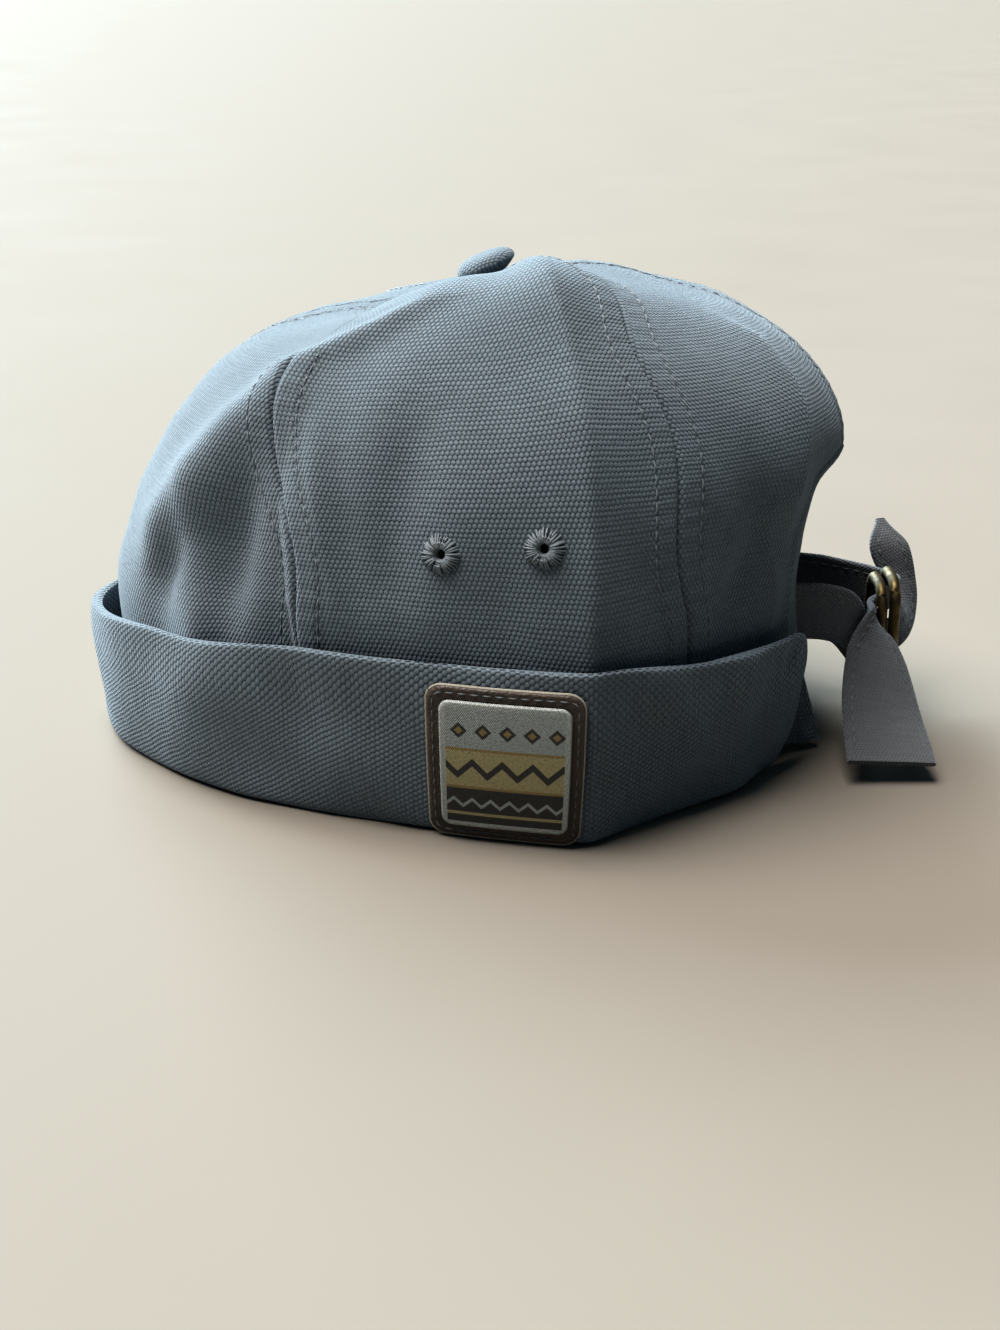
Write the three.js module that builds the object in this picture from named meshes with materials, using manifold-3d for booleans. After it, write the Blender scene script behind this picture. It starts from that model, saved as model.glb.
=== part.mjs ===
// Docker cap: a brimless six-panel canvas cap with a folded-up cuff and an arched back that a strap closes.
// Millimetres, +Z up. The cap's back is towards +X, its left side towards -Y.
// Angles round the crown are in degrees from -Y, growing towards +X.
import * as THREE from 'three';
import { mergeVertices } from 'three/addons/utils/BufferGeometryUtils.js';
import Module from 'manifold-3d';

const wasm = await Module();
wasm.setup();

// Cloth, gaps and how finely the soft pieces are divided
const GAP = 0.3;
const PANEL_WALL = 1.8;
const HEM_Z = 2.6;
const PANEL_STEPS_AROUND = 12;
const PANEL_STEPS_UP = 17;
const CUFF_STEPS = 78;

// Outline of the crown at eight levels from the hem to the centre of the top:
// reach and height on the left, front, back and right side of the cap
const CROWN_LEVELS = [
  { leftR: 72, leftZ: HEM_Z, frontR: 96, frontZ: HEM_Z, backR: 84, backZ: HEM_Z, rightR: 75, rightZ: HEM_Z },
  { leftR: 76, leftZ: 43, frontR: 99.5, frontZ: 38, backR: 88, backZ: 42, rightR: 79, rightZ: 42 },
  { leftR: 76, leftZ: 60, frontR: 95.5, frontZ: 57, backR: 91, backZ: 61, rightR: 79, rightZ: 60 },
  { leftR: 72, leftZ: 82, frontR: 87.3, frontZ: 75.5, backR: 93.5, backZ: 82, rightR: 76, rightZ: 80 },
  { leftR: 63, leftZ: 101, frontR: 75, frontZ: 93.2, backR: 80.8, backZ: 101.8, rightR: 66, rightZ: 97 },
  { leftR: 50, leftZ: 116, frontR: 59, frontZ: 105, backR: 64.3, backZ: 112.8, rightR: 53, rightZ: 108 },
  { leftR: 36, leftZ: 125, frontR: 39, frontZ: 110, backR: 45, backZ: 119, rightR: 37, rightZ: 114 },
  { leftR: 19, leftZ: 123, frontR: 19, frontZ: 113.5, backR: 22, backZ: 123.5, rightR: 19, rightZ: 117 },
  { leftR: 0, leftZ: 119, frontR: 0, frontZ: 119, backR: 0, backZ: 119, rightR: 0, rightZ: 119 },
];
const WALL_TOP_LEVEL = 0.7;
const PLAN_EXPONENT_LOW = 1.75;
const PLAN_EXPONENT_TOP = 2.0;

// Creases and folds of the crown: angle and level (0 at the hem, 1 at the centre of the top) at both ends,
// angular half-widths on both sides, and how far each end stands out (or in, when negative)
const CROWN_FOLDS = {
  sideCrease: { az0: 15, az1: 18.3, t0: -0.1, t1: 0.74, before: 24, after: 30, out0: 14.5, out1: 5.5, sharp: 1.3 },
  topSwell: { az0: 18, az1: 28, t0: 0.64, t1: 0.9, before: 22, after: 40, out0: 3, out1: 4.5, sharp: 2 },
  frontRidge: { az0: -66, az1: -48.5, t0: 0.29, t1: 0.556, before: 14, after: 16, out0: 7, out1: 4.5, sharp: 2 },
  topRidge: { az0: -49.5, az1: -20, t0: 0.556, t1: 0.7, before: 12, after: 14, out0: 3.5, out1: 3, sharp: 1.9 },
  underRidge: { az0: -53, az1: -50, t0: 0.12, t1: 0.38, before: 11, after: 8, out0: -4, out1: -6, sharp: 2 },
  seamValley: { az0: -36.5, az1: -41.5, t0: 0.06, t1: 0.36, before: 16, after: 3.5, out0: -4, out1: -4, sharp: 1.6 },
  cuffBulge: { az0: -55, az1: -56, t0: 0.02, t1: 0.2, before: 10, after: 5, out0: 5, out1: 5, sharp: 1.6 },
  cuffHollow: { az0: -66, az1: -64, t0: 0.2, t1: 0.28, before: 6, after: 7, out0: -8, out1: -7, sharp: 2 },
  archHollow: { az0: 76, az1: 76, t0: -0.1, t1: 0.36, before: 14, after: 16, out0: 1, out1: -6, sharp: 1.8 },
  archCrease: { az0: 60, az1: 68, t0: 0.32, t1: 0.56, before: 14, after: 7, out0: 4, out1: 6.5, sharp: 1.2 },
  legFlare: { az0: 76, az1: 76, t0: -0.1, t1: 0.08, before: 9, after: 16, out0: 10, out1: 12, sharp: 2 },
  sideDent: { az0: -18, az1: -14, t0: 0.2, t1: 0.48, before: 9, after: 10, out0: -1.5, out1: -2, sharp: 2 },
  rightCrease: { az0: 168, az1: 170, t0: -0.1, t1: 0.8, before: 30, after: 26, out0: 6, out1: 1.5, sharp: 1.6 },
};
const CUFF_SWELL = { az0: 46, az1: 46, t0: -0.1, t1: 0.3, before: 20, after: 20, out0: 1.8, out1: 1.8, sharp: 2 };
const CUFF_CREASES = [CROWN_FOLDS.sideCrease, CROWN_FOLDS.rightCrease, CUFF_SWELL];
const CUFF_CREASE_LEVEL = 0.06;
const FOLD_FALLOFF = 1.6;
const FOLD_FADE = 0.12;

// Angle of each seam at even levels from the hem to the centre of the top
const SEAM_LEVELS = [
  { left_front: -35.5, left_back: 38.5, back: 90, right_back: 144, right_front: 212, front: 262 },
  { left_front: -35.5, left_back: 36.5, back: 90, right_back: 145, right_front: 211, front: 262 },
  { left_front: -36, left_back: 33, back: 90, right_back: 146, right_front: 210, front: 261 },
  { left_front: -44, left_back: 35, back: 91, right_back: 148, right_front: 209, front: 258 },
  { left_front: -48, left_back: 33.8, back: 96, right_back: 150, right_front: 207, front: 254 },
  { left_front: -46.5, left_back: 40.5, back: 102, right_back: 153, right_front: 206, front: 251 },
  { left_front: -45, left_back: 40, back: 104, right_back: 154, right_front: 205, front: 250 },
  { left_front: -45, left_back: 39, back: 104, right_back: 154, right_front: 205, front: 250 },
];
const CREASE_AZ = 15;

// Six panels, by the seams they lie between
const PANELS = [
  { name: 'panel_left', from: 'left_front', to: 'left_back' },
  { name: 'panel_back_left', from: 'left_back', to: 'back' },
  { name: 'panel_back_right', from: 'back', to: 'right_back' },
  { name: 'panel_right', from: 'right_back', to: 'right_front' },
  { name: 'panel_front_right', from: 'right_front', to: 'front' },
  { name: 'panel_front_left', from: 'front', to: 'left_front' },
];
const TOP_HOLE_LEVEL = 0.97;
const LEVEL_SPREAD = 0.9;

// Arched opening at the back
const ARCH_NEAR_FOOT = 22;
const ARCH_FAR_FOOT = 26;
const ARCH_HALF_WIDTH = 31;
const ARCH_SPRING_Z = 60;
const ARCH_TOP_Z = 77;
const ARCH_BELOW = 5;
const ARCH_NEAR_X = 45;
const ARCH_FAR_X = 130;

// Cuff: folded band, its two ends beside the arch
const CUFF_END_AZ = 66;
const CUFF_WALL = 2.6;
const CUFF_END_SLANT = 4;
const CUFF_SLANT_REACH = 14;
const CUFF_FLARE = 5;
const CUFF_FRONT_FLARE = 2;
const CUFF_BELLY = 1.2;
const CUFF_FOOT_WIDTH = 12;
const CUFF_FOOT_Z = 2.2;
// Its section: distance in from the outside, and height in mm or as a share of the rim's height
const CUFF_SECTION = [
  { inwards: 3.4, z: 0, share: 0 },
  { inwards: 1.5, z: 0.6, share: 0 },
  { inwards: 0.2, z: 2.6, share: 0 },
  { inwards: 0, z: 0, share: 0.3 },
  { inwards: 0, z: 0, share: 0.65 },
  { inwards: 0, z: 0, share: 0.955 },
  { inwards: CUFF_WALL * 0.3, z: 0, share: 1 },
  { inwards: CUFF_WALL * 0.7, z: 0, share: 1 },
  { inwards: CUFF_WALL, z: 0, share: 0.955 },
  { inwards: CUFF_WALL, z: 0, share: 0.65 },
  { inwards: CUFF_WALL, z: 0, share: 0.3 },
  { inwards: CUFF_WALL + 0.8, z: CUFF_FOOT_Z, share: 0 },
  { inwards: CUFF_FOOT_WIDTH, z: CUFF_FOOT_Z, share: 0 },
  { inwards: CUFF_FOOT_WIDTH, z: 0, share: 0 },
];
const CUFF_PLAN = { left: 77, front: 104.5, back: 89.5, right: 80 };
const CUFF_RIM = [
  { az: -180, height: 37 },
  { az: -90, height: 34.5 },
  { az: -60, height: 39.5 },
  { az: -30, height: 44 },
  { az: 15, height: 44.5 },
  { az: 40, height: 39.5 },
  { az: 66, height: 37 },
  { az: 114, height: 37 },
  { az: 140, height: 38 },
  { az: 180, height: 37 },
];

// Patch on the left of the cuff
const PATCH_AZ = 2.6;
const PATCH_MID_Z = 20.6;
const PATCH_WIDTH = 37;
const PATCH_HEIGHT = 39.6;
const PATCH_CORNER = 4;
const PATCH_THICKNESS = 1.6;
const PATCH_BORDER = 3.3;
const PATCH_FACE_CORNER = 2.5;
const PATCH_FACE_THICKNESS = 0.8;
const PATCH_STEPS = 32;
const PATCH_INNER_RING = 0.55;

// Eyelets in the side panels, by angle and height
const EYELETS = [
  { name: 'eyelet_1', panel: 'panel_left', az: -8, z: 68.7 },
  { name: 'eyelet_2', panel: 'panel_left', az: 9.2, z: 71.5 },
  { name: 'eyelet_3', panel: 'panel_right', az: 171, z: 68 },
  { name: 'eyelet_4', panel: 'panel_right', az: 188, z: 68 },
];
const EYELET_SIDES = 12;
const EYELET_BARREL = 2.1;
const EYELET_CUT_DEPTH = 12;
const EYELET_SECTION = [
  { radius: 1.25, height: -PANEL_WALL },
  { radius: EYELET_BARREL, height: -PANEL_WALL },
  { radius: EYELET_BARREL, height: 0.45 },
  { radius: 4.6, height: 0.45 },
  { radius: 4.2, height: 1.1 },
  { radius: 2.9, height: 1.35 },
  { radius: 1.55, height: 1.1 },
];

// Button on the top
const BUTTON_SIDES = 20;
const BUTTON_SECTION = [
  { radius: 0, height: -1.7 },
  { radius: 2.4, height: -1.7 },
  { radius: 4.8, height: -0.9 },
  { radius: 6.9, height: 0.4 },
  { radius: 7.7, height: 1.3 },
  { radius: 7.5, height: 2.5 },
  { radius: 6.2, height: 3.7 },
  { radius: 3.8, height: 4.4 },
  { radius: 0, height: 4.6 },
];
const BUTTON_LIFT = 2.7;
const BUTTON_LEAN = THREE.MathUtils.degToRad(-22);

// Back strap: two ends threaded through a pair of rings from opposite sides, the far one above the near one.
// turn is the angle of the strap's width from +X towards +Z
const STRAP_THICKNESS = 1.6;
const STRAP_SEAT_DEPTH = 4.4;
const STRAP_STEPS_PER_ROW = 4;
const STRAP_NEAR_SEAT = [
  { az: 60, z: 38, width: 15.5, turn: 90 },
  { az: 65, z: 38, width: 15.5, turn: 90 },
  { az: 70, z: 38, width: 15.5, turn: 90 },
];
const STRAP_NEAR = [
  { x: 92, y: -18.5, z: 34.6, width: 14.5, turn: 90 },
  { x: 98, y: -13.6, z: 25.2, width: 11, turn: 90 },
  { x: 101, y: -9.5, z: 21.9, width: 8.8, turn: 90 },
  { x: 106.6, y: 0.4, z: 22.6, width: 9, turn: 90 },
  { x: 112.8, y: 6, z: 22.2, width: 9.4, turn: 90 },
  { x: 116, y: 13.5, z: 25, width: 9.5, turn: 115 },
  { x: 115, y: 19, z: 33, width: 9.5, turn: 150 },
  { x: 111.5, y: 22.5, z: 42, width: 11, turn: 168 },
  { x: 110, y: 28.5, z: 47.5, width: 3, turn: 172 },
];
const STRAP_FAR_SEAT = [
  { az: 120, z: 28.5, width: 23, turn: -90 },
  { az: 115, z: 28.5, width: 23, turn: -90 },
  { az: 110, z: 28.5, width: 23, turn: -90 },
];
const STRAP_FAR = [
  { x: 95, y: 24, z: 28.5, width: 20, turn: -90 },
  { x: 106, y: 17, z: 31.5, width: 12.5, turn: -90 },
  { x: 112.2, y: 9, z: 33.2, width: 8, turn: -90 },
  { x: 106.6, y: 0.5, z: 32.4, width: 6.4, turn: -90 },
  { x: 101.6, y: -9, z: 32.8, width: 6.8, turn: -86 },
  { x: 102.4, y: -13.5, z: 31, width: 11, turn: -62 },
  { x: 101.9, y: -20, z: 24.8, width: 17.2, turn: -31 },
  { x: 101.6, y: -32, z: 15, width: 22, turn: -20 },
  { x: 101.9, y: -49, z: 5.6, width: 22.8, turn: -4 },
];

// Brass rings
const RING_WIRE = 3;
const RING_HALF_LENGTH = 8.5;
const RING_LOW_Z = 14;
const RING_HIGH_Z = 38.5;
const RING_CORNER = 6;
const RING_STEPS = 26;
const RING_SIDES = 7;
const RINGS = [
  { name: 'ring_1', x: 104.9, lift: 0 },
  { name: 'ring_2', x: 108.3, lift: 1.5 },
];

const CANVAS = { color: 0x56616d, roughness: 0.95, metalness: 0 };
const STRAP_CLOTH = { color: 0x4c5058, roughness: 0.95, metalness: 0 };
const LEATHER = { color: 0x2b211c, roughness: 0.7, metalness: 0 };
const WOVEN_FACE = { color: 0x9a9a86, roughness: 0.85, metalness: 0 };
const THREAD = { color: 0x3b424b, roughness: 0.8, metalness: 0 };
const BRASS = { color: 0x6a5a3a, roughness: 0.45, metalness: 1 };

const radians = THREE.MathUtils.degToRad;

// The same angle between -180 and 180
function wrapped(az) {
  return ((az + 180) % 360 + 360) % 360 - 180;
}

// Smooth curve through rows of a table at even steps, s from 0 to the last row
function alongRows(rows, column, s) {
  const last = rows.length - 1;
  const i = Math.min(Math.max(Math.floor(s), 0), last - 1);
  const at = (k) => rows[Math.min(Math.max(k, 0), last)][column];
  const u = s - i;
  const slope0 = (at(i + 1) - at(i - 1)) / 2;
  const slope1 = (at(i + 2) - at(i)) / 2;
  const u2 = u * u;
  const u3 = u2 * u;
  return (2 * u3 - 3 * u2 + 1) * at(i) + (u3 - 2 * u2 + u) * slope0
    + (3 * u2 - 2 * u3) * at(i + 1) + (u3 - u2) * slope1;
}

// Value between the rows of a table whose first column is an angle
function atAngle(rows, column, az) {
  const angle = wrapped(az);
  let i = 0;
  while (i < rows.length - 2 && rows[i + 1].az < angle) i += 1;
  const u = (angle - rows[i].az) / (rows[i + 1].az - rows[i].az);
  return THREE.MathUtils.lerp(rows[i][column], rows[i + 1][column], THREE.MathUtils.smoothstep(u, 0, 1));
}

// Reach of a rounded plan whose four sides have their own reach
function planReach(az, side, end, exponent) {
  const s = Math.abs(Math.sin(radians(az)));
  const c = Math.abs(Math.cos(radians(az)));
  return ((s / end) ** exponent + (c / side) ** exponent) ** (-1 / exponent);
}

// How far a fold stands out at an angle and level
function foldOut(fold, az, t) {
  const u = THREE.MathUtils.clamp((t - fold.t0) / (fold.t1 - fold.t0), 0, 1);
  const ridge = THREE.MathUtils.lerp(fold.az0, fold.az1, u);
  const turn = wrapped(az - ridge);
  const reach = turn < 0 ? fold.before : fold.after;
  const across = Math.exp(-(Math.abs(turn / reach * FOLD_FALLOFF) ** fold.sharp));
  const along = THREE.MathUtils.smoothstep(t, fold.t0 - FOLD_FADE, fold.t0 + FOLD_FADE)
    * (1 - THREE.MathUtils.smoothstep(t, fold.t1 - FOLD_FADE, fold.t1 + FOLD_FADE));
  return THREE.MathUtils.lerp(fold.out0, fold.out1, u) * across * along;
}

// Point of the crown's outer surface before folds
function crownBase(az, t) {
  const s = t * (CROWN_LEVELS.length - 1);
  const end = Math.sin(radians(az)) < 0 ? 'front' : 'back';
  const side = Math.cos(radians(az)) > 0 ? 'left' : 'right';
  const endR = Math.max(alongRows(CROWN_LEVELS, `${end}R`, s), 0.01);
  const sideR = Math.max(alongRows(CROWN_LEVELS, `${side}R`, s), 0.01);
  const r = planReach(az, sideR, endR, THREE.MathUtils.lerp(PLAN_EXPONENT_LOW, PLAN_EXPONENT_TOP, t));
  const toEnd = Math.sin(radians(az)) ** 2;
  const z = THREE.MathUtils.lerp(
    alongRows(CROWN_LEVELS, `${side}Z`, s), alongRows(CROWN_LEVELS, `${end}Z`, s), toEnd);
  return { r, z };
}

// Point of the crown's outer surface, folds included
function crownPoint(az, t) {
  const step = 0.01;
  const here = crownBase(az, t);
  const low = crownBase(az, Math.max(t - step, 0));
  const high = crownBase(az, Math.min(t + step, 1));
  const rise = high.z - low.z;
  const run = high.r - low.r;
  const length = Math.hypot(rise, run);
  const out = Object.values(CROWN_FOLDS).reduce((sum, fold) => sum + foldOut(fold, az, t), 0);
  const r = here.r + out * rise / length;
  const z = here.z - out * run / length;
  return new THREE.Vector3(r * Math.sin(radians(az)), -r * Math.cos(radians(az)), z);
}

function crownNormal(az, t) {
  const turn = 0.4;
  const step = 0.004;
  const around = crownPoint(az + turn, t).sub(crownPoint(az - turn, t));
  const up = crownPoint(az, Math.min(t + step, 1)).sub(crownPoint(az, Math.max(t - step, 0)));
  return around.cross(up).normalize();
}

// Level of the crown at a height, on the wall below the shoulder
function levelAtHeight(az, z) {
  let low = 0;
  let high = WALL_TOP_LEVEL;
  const halvings = 30;
  for (let i = 0; i < halvings; i += 1) {
    const mid = (low + high) / 2;
    if (crownPoint(az, mid).z < z) low = mid;
    else high = mid;
  }
  return low;
}

// Closed wall between two grids of points of the same size
function wallBetween(outer, inner) {
  const rows = outer.length;
  const columns = outer[0].length;
  const positions = [];
  const index = [];
  for (const grid of [outer, inner]) {
    for (const row of grid) {
      for (const p of row) positions.push(p.x, p.y, p.z);
    }
  }
  const id = (layer, i, j) => layer * rows * columns + i * columns + j;
  const quad = (a, b, c, d) => index.push(a, b, c, a, c, d);
  for (let i = 0; i < rows - 1; i += 1) {
    for (let j = 0; j < columns - 1; j += 1) {
      quad(id(0, i, j), id(0, i, j + 1), id(0, i + 1, j + 1), id(0, i + 1, j));
      quad(id(1, i, j), id(1, i + 1, j), id(1, i + 1, j + 1), id(1, i, j + 1));
    }
  }
  for (let j = 0; j < columns - 1; j += 1) {
    quad(id(0, 0, j), id(1, 0, j), id(1, 0, j + 1), id(0, 0, j + 1));
    quad(id(0, rows - 1, j), id(0, rows - 1, j + 1), id(1, rows - 1, j + 1), id(1, rows - 1, j));
  }
  for (let i = 0; i < rows - 1; i += 1) {
    quad(id(0, i, 0), id(0, i + 1, 0), id(1, i + 1, 0), id(1, i, 0));
    quad(id(0, i, columns - 1), id(1, i, columns - 1), id(1, i + 1, columns - 1), id(0, i + 1, columns - 1));
  }
  return closedGeometry(positions, index);
}

function closedGeometry(positions, index) {
  const geometry = new THREE.BufferGeometry();
  geometry.setAttribute('position', new THREE.Float32BufferAttribute(positions, 3));
  geometry.setIndex(index);
  geometry.computeVertexNormals();
  return geometry;
}

// Closed skin over rings of points, each ring a closed section, with flat ends
function skinOverRings(rings) {
  const around = rings[0].length;
  const positions = [];
  const index = [];
  for (const ring of rings) {
    for (const p of ring) positions.push(p.x, p.y, p.z);
  }
  for (let i = 0; i < rings.length - 1; i += 1) {
    for (let j = 0; j < around; j += 1) {
      const next = (j + 1) % around;
      const a = i * around + j;
      const b = i * around + next;
      index.push(a, b, b + around, a, b + around, a + around);
    }
  }
  return { positions, index, around };
}

function toSolid(geometry) {
  const bare = geometry.clone();
  bare.deleteAttribute('normal');
  if (bare.getAttribute('uv')) bare.deleteAttribute('uv');
  const merged = mergeVertices(bare, 1e-4);
  return new wasm.Manifold(new wasm.Mesh({
    numProp: 3,
    vertProperties: new Float32Array(merged.getAttribute('position').array),
    triVerts: new Uint32Array(merged.getIndex().array),
  }));
}

function toGeometry(solid) {
  const mesh = solid.getMesh();
  return closedGeometry(Array.from(mesh.vertProperties), Array.from(mesh.triVerts));
}

function named(name, geometry, look) {
  const mesh = new THREE.Mesh(geometry, new THREE.MeshStandardMaterial(look));
  mesh.name = name;
  return mesh;
}

// Levels of a panel's rows, from the hem to the hole under the button
function panelLevels() {
  const levels = [];
  for (let i = 0; i <= PANEL_STEPS_UP; i += 1) {
    levels.push(TOP_HOLE_LEVEL * (i / PANEL_STEPS_UP) ** LEVEL_SPREAD);
  }
  return levels;
}

// Angle of a seam at a level
function seamAngle(name, t) {
  return alongRows(SEAM_LEVELS, name, t * (SEAM_LEVELS.length - 1));
}

// Angles from one to another, one of them on the side crease where it lies between them
function anglesBetween(from, to, steps) {
  const angles = [];
  const share = (CREASE_AZ - from) / (to - from);
  const kink = share > 0 && share < 1 ? Math.round(share * steps) : steps;
  const turning = kink < steps ? CREASE_AZ : to;
  for (let j = 0; j <= steps; j += 1) {
    angles.push(j <= kink
      ? THREE.MathUtils.lerp(from, turning, j / kink)
      : THREE.MathUtils.lerp(turning, to, (j - kink) / (steps - kink)));
  }
  return angles;
}

function panelGeometry(panel) {
  const outer = [];
  const inner = [];
  for (const t of panelLevels()) {
    const outerRow = [];
    const innerRow = [];
    const from = seamAngle(panel.from, t);
    const to = seamAngle(panel.to, t) + (panel.to === 'left_front' ? 360 : 0);
    const middle = (from + to) / 2;
    for (const plain of anglesBetween(from, to, PANEL_STEPS_AROUND)) {
      const reach = Math.hypot(crownPoint(plain, t).x, crownPoint(plain, t).y);
      const trim = THREE.MathUtils.radToDeg((GAP / 2) / (reach - PANEL_WALL));
      const az = middle + (plain - middle) * (1 - trim / ((to - from) / 2));
      const p = crownPoint(az, t);
      outerRow.push(p);
      innerRow.push(p.clone().addScaledVector(crownNormal(az, t), -PANEL_WALL));
    }
    outer.push(outerRow);
    inner.push(innerRow);
  }
  for (const p of [...outer[0], ...inner[0]]) p.z = HEM_Z;
  return wallBetween(outer, inner);
}

// Opening at the back, to be cut from the two back panels
function archGeometry() {
  const outline = new THREE.Shape();
  outline.moveTo(-ARCH_NEAR_FOOT, -ARCH_BELOW);
  outline.lineTo(ARCH_FAR_FOOT, -ARCH_BELOW);
  outline.lineTo(ARCH_HALF_WIDTH, ARCH_SPRING_Z);
  outline.absellipse(0, ARCH_SPRING_Z, ARCH_HALF_WIDTH, ARCH_TOP_Z - ARCH_SPRING_Z, 0, Math.PI, false);
  outline.lineTo(-ARCH_NEAR_FOOT, -ARCH_BELOW);
  const geometry = new THREE.ExtrudeGeometry(outline, {
    depth: ARCH_FAR_X - ARCH_NEAR_X, bevelEnabled: false, curveSegments: 20,
  });
  geometry.applyMatrix4(new THREE.Matrix4().makeBasis(
    new THREE.Vector3(0, 1, 0), new THREE.Vector3(0, 0, 1), new THREE.Vector3(1, 0, 0)));
  geometry.translate(ARCH_NEAR_X, 0, 0);
  return geometry;
}

// Where an eyelet sits: its place and the direction it faces
function eyeletSeat(eyelet) {
  const t = levelAtHeight(eyelet.az, eyelet.z);
  return { place: crownPoint(eyelet.az, t), facing: crownNormal(eyelet.az, t) };
}

function facingTurn(facing) {
  return new THREE.Quaternion().setFromUnitVectors(new THREE.Vector3(0, 1, 0), facing);
}

function eyeletHole(eyelet) {
  const { place, facing } = eyeletSeat(eyelet);
  const radius = EYELET_BARREL + GAP;
  const hole = new THREE.CylinderGeometry(radius, radius, EYELET_CUT_DEPTH, EYELET_SIDES);
  hole.applyQuaternion(facingTurn(facing));
  hole.translate(place.x, place.y, place.z);
  return hole;
}

// Ring of thread that stands on the cloth, with a barrel through its hole
function eyeletMesh(eyelet) {
  const { place, facing } = eyeletSeat(eyelet);
  const closed = [...EYELET_SECTION, EYELET_SECTION[0]];
  const outline = closed.map((row) => new THREE.Vector2(row.radius, row.height));
  const mesh = named(eyelet.name, new THREE.LatheGeometry(outline, EYELET_SIDES), THREAD);
  mesh.quaternion.copy(facingTurn(facing));
  mesh.position.copy(place);
  return mesh;
}

// Reach of the cuff's outside at its fold, before its lean
function cuffReach(az) {
  const end = Math.sin(radians(az)) < 0 ? CUFF_PLAN.front : CUFF_PLAN.back;
  const side = Math.cos(radians(az)) > 0 ? CUFF_PLAN.left : CUFF_PLAN.right;
  return planReach(az, side, end, PLAN_EXPONENT_LOW)
    + CUFF_CREASES.reduce((sum, fold) => sum + foldOut(fold, az, CUFF_CREASE_LEVEL), 0);
}

// Outside of the cuff at an angle, up from 0 at its fold to 1 at its rim
function cuffPoint(az, up, inwards) {
  const height = atAngle(CUFF_RIM, 'height', az);
  const frontness = Math.max(-Math.sin(radians(az)), 0) ** 2;
  const flare = THREE.MathUtils.lerp(CUFF_FLARE, CUFF_FRONT_FLARE, frontness);
  const r = cuffReach(az) + flare * up + CUFF_BELLY * Math.sin(Math.PI * up) - inwards;
  return new THREE.Vector3(r * Math.sin(radians(az)), -r * Math.cos(radians(az)), height * up);
}

// Angle of the cuff's cloth, which is drawn back below the rim beside both of its ends
function cuffAngle(az, up) {
  const nearEnd = 1 - THREE.MathUtils.smoothstep(CUFF_END_AZ - az, 0, CUFF_SLANT_REACH);
  const farEnd = 1 - THREE.MathUtils.smoothstep(az + 180 + CUFF_END_AZ, 0, CUFF_SLANT_REACH);
  return az + CUFF_END_SLANT * (1 - up) * (farEnd - nearEnd);
}

// Ring of points round the cuff's section at an angle
function cuffRing(az) {
  const height = atAngle(CUFF_RIM, 'height', az);
  return CUFF_SECTION.map((row) => {
    const up = row.z / height + row.share;
    return cuffPoint(cuffAngle(az, up), up, row.inwards);
  });
}

function cuffGeometry() {
  const farEnd = -180 - CUFF_END_AZ;
  const rings = anglesBetween(CUFF_END_AZ, farEnd, CUFF_STEPS).map(cuffRing);
  const { positions, index, around } = skinOverRings(rings);
  const last = (rings.length - 1) * around;
  // Flat ends, each divided across the wall
  for (let a = 0; a < around / 2 - 1; a += 1) {
    const b = a + 1;
    const c = around - 2 - a;
    const d = around - 1 - a;
    index.push(a, c, b, a, d, c);
    index.push(last + a, last + b, last + c, last + a, last + c, last + d);
  }
  return closedGeometry(positions, index);
}

// Rounded rectangle, even about the vertical axis
function roundedOutline(half, low, high, corner) {
  const outline = new THREE.Path();
  outline.moveTo(-half + corner, low);
  outline.lineTo(half - corner, low);
  outline.absarc(half - corner, low + corner, corner, -Math.PI / 2, 0, false);
  outline.lineTo(half, high - corner);
  outline.absarc(half - corner, high - corner, corner, 0, Math.PI / 2, false);
  outline.lineTo(-half + corner, high);
  outline.absarc(-half + corner, high - corner, corner, Math.PI / 2, Math.PI, false);
  outline.lineTo(-half, low + corner);
  outline.absarc(-half + corner, low + corner, corner, Math.PI, Math.PI * 1.5, false);
  return outline;
}

// Angle reached by going a distance along the middle of the cuff
function cuffAngleAlong(az, distance) {
  const step = Math.sign(distance) * 0.1;
  let angle = az;
  let left = Math.abs(distance);
  while (left > 0) {
    left -= cuffPoint(angle, 0.5, 0).distanceTo(cuffPoint(angle + step, 0.5, 0));
    angle += step;
  }
  return angle;
}

// Sheet with a rounded-square outline laid on the outside of the cuff
function patchSheet(inset, corner, lift, thickness) {
  const halfHeight = PATCH_HEIGHT / 2 - inset;
  const square = roundedOutline(PATCH_WIDTH / 2 - inset, -halfHeight, halfHeight, corner);
  const outline = square.getSpacedPoints(PATCH_STEPS).slice(0, PATCH_STEPS);
  const onCuff = (u, v, out) => {
    const az = cuffAngleAlong(PATCH_AZ, u);
    return cuffPoint(az, (PATCH_MID_Z + v) / atAngle(CUFF_RIM, 'height', az), -out);
  };
  const scales = [1, PATCH_INNER_RING];
  const rings = [];
  for (const s of [...scales].reverse()) rings.push(outline.map((p) => onCuff(p.x * s, p.y * s, lift)));
  for (const s of scales) rings.push(outline.map((p) => onCuff(p.x * s, p.y * s, lift + thickness)));
  const { positions, index, around } = skinOverRings(rings);
  const middle = positions.length / 3;
  for (const out of [lift, lift + thickness]) {
    const p = onCuff(0, 0, out);
    positions.push(p.x, p.y, p.z);
  }
  const last = (rings.length - 1) * around;
  for (let j = 0; j < around; j += 1) {
    const next = (j + 1) % around;
    index.push(middle, next, j);
    index.push(middle + 1, last + j, last + next);
  }
  return closedGeometry(positions, index);
}

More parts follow.
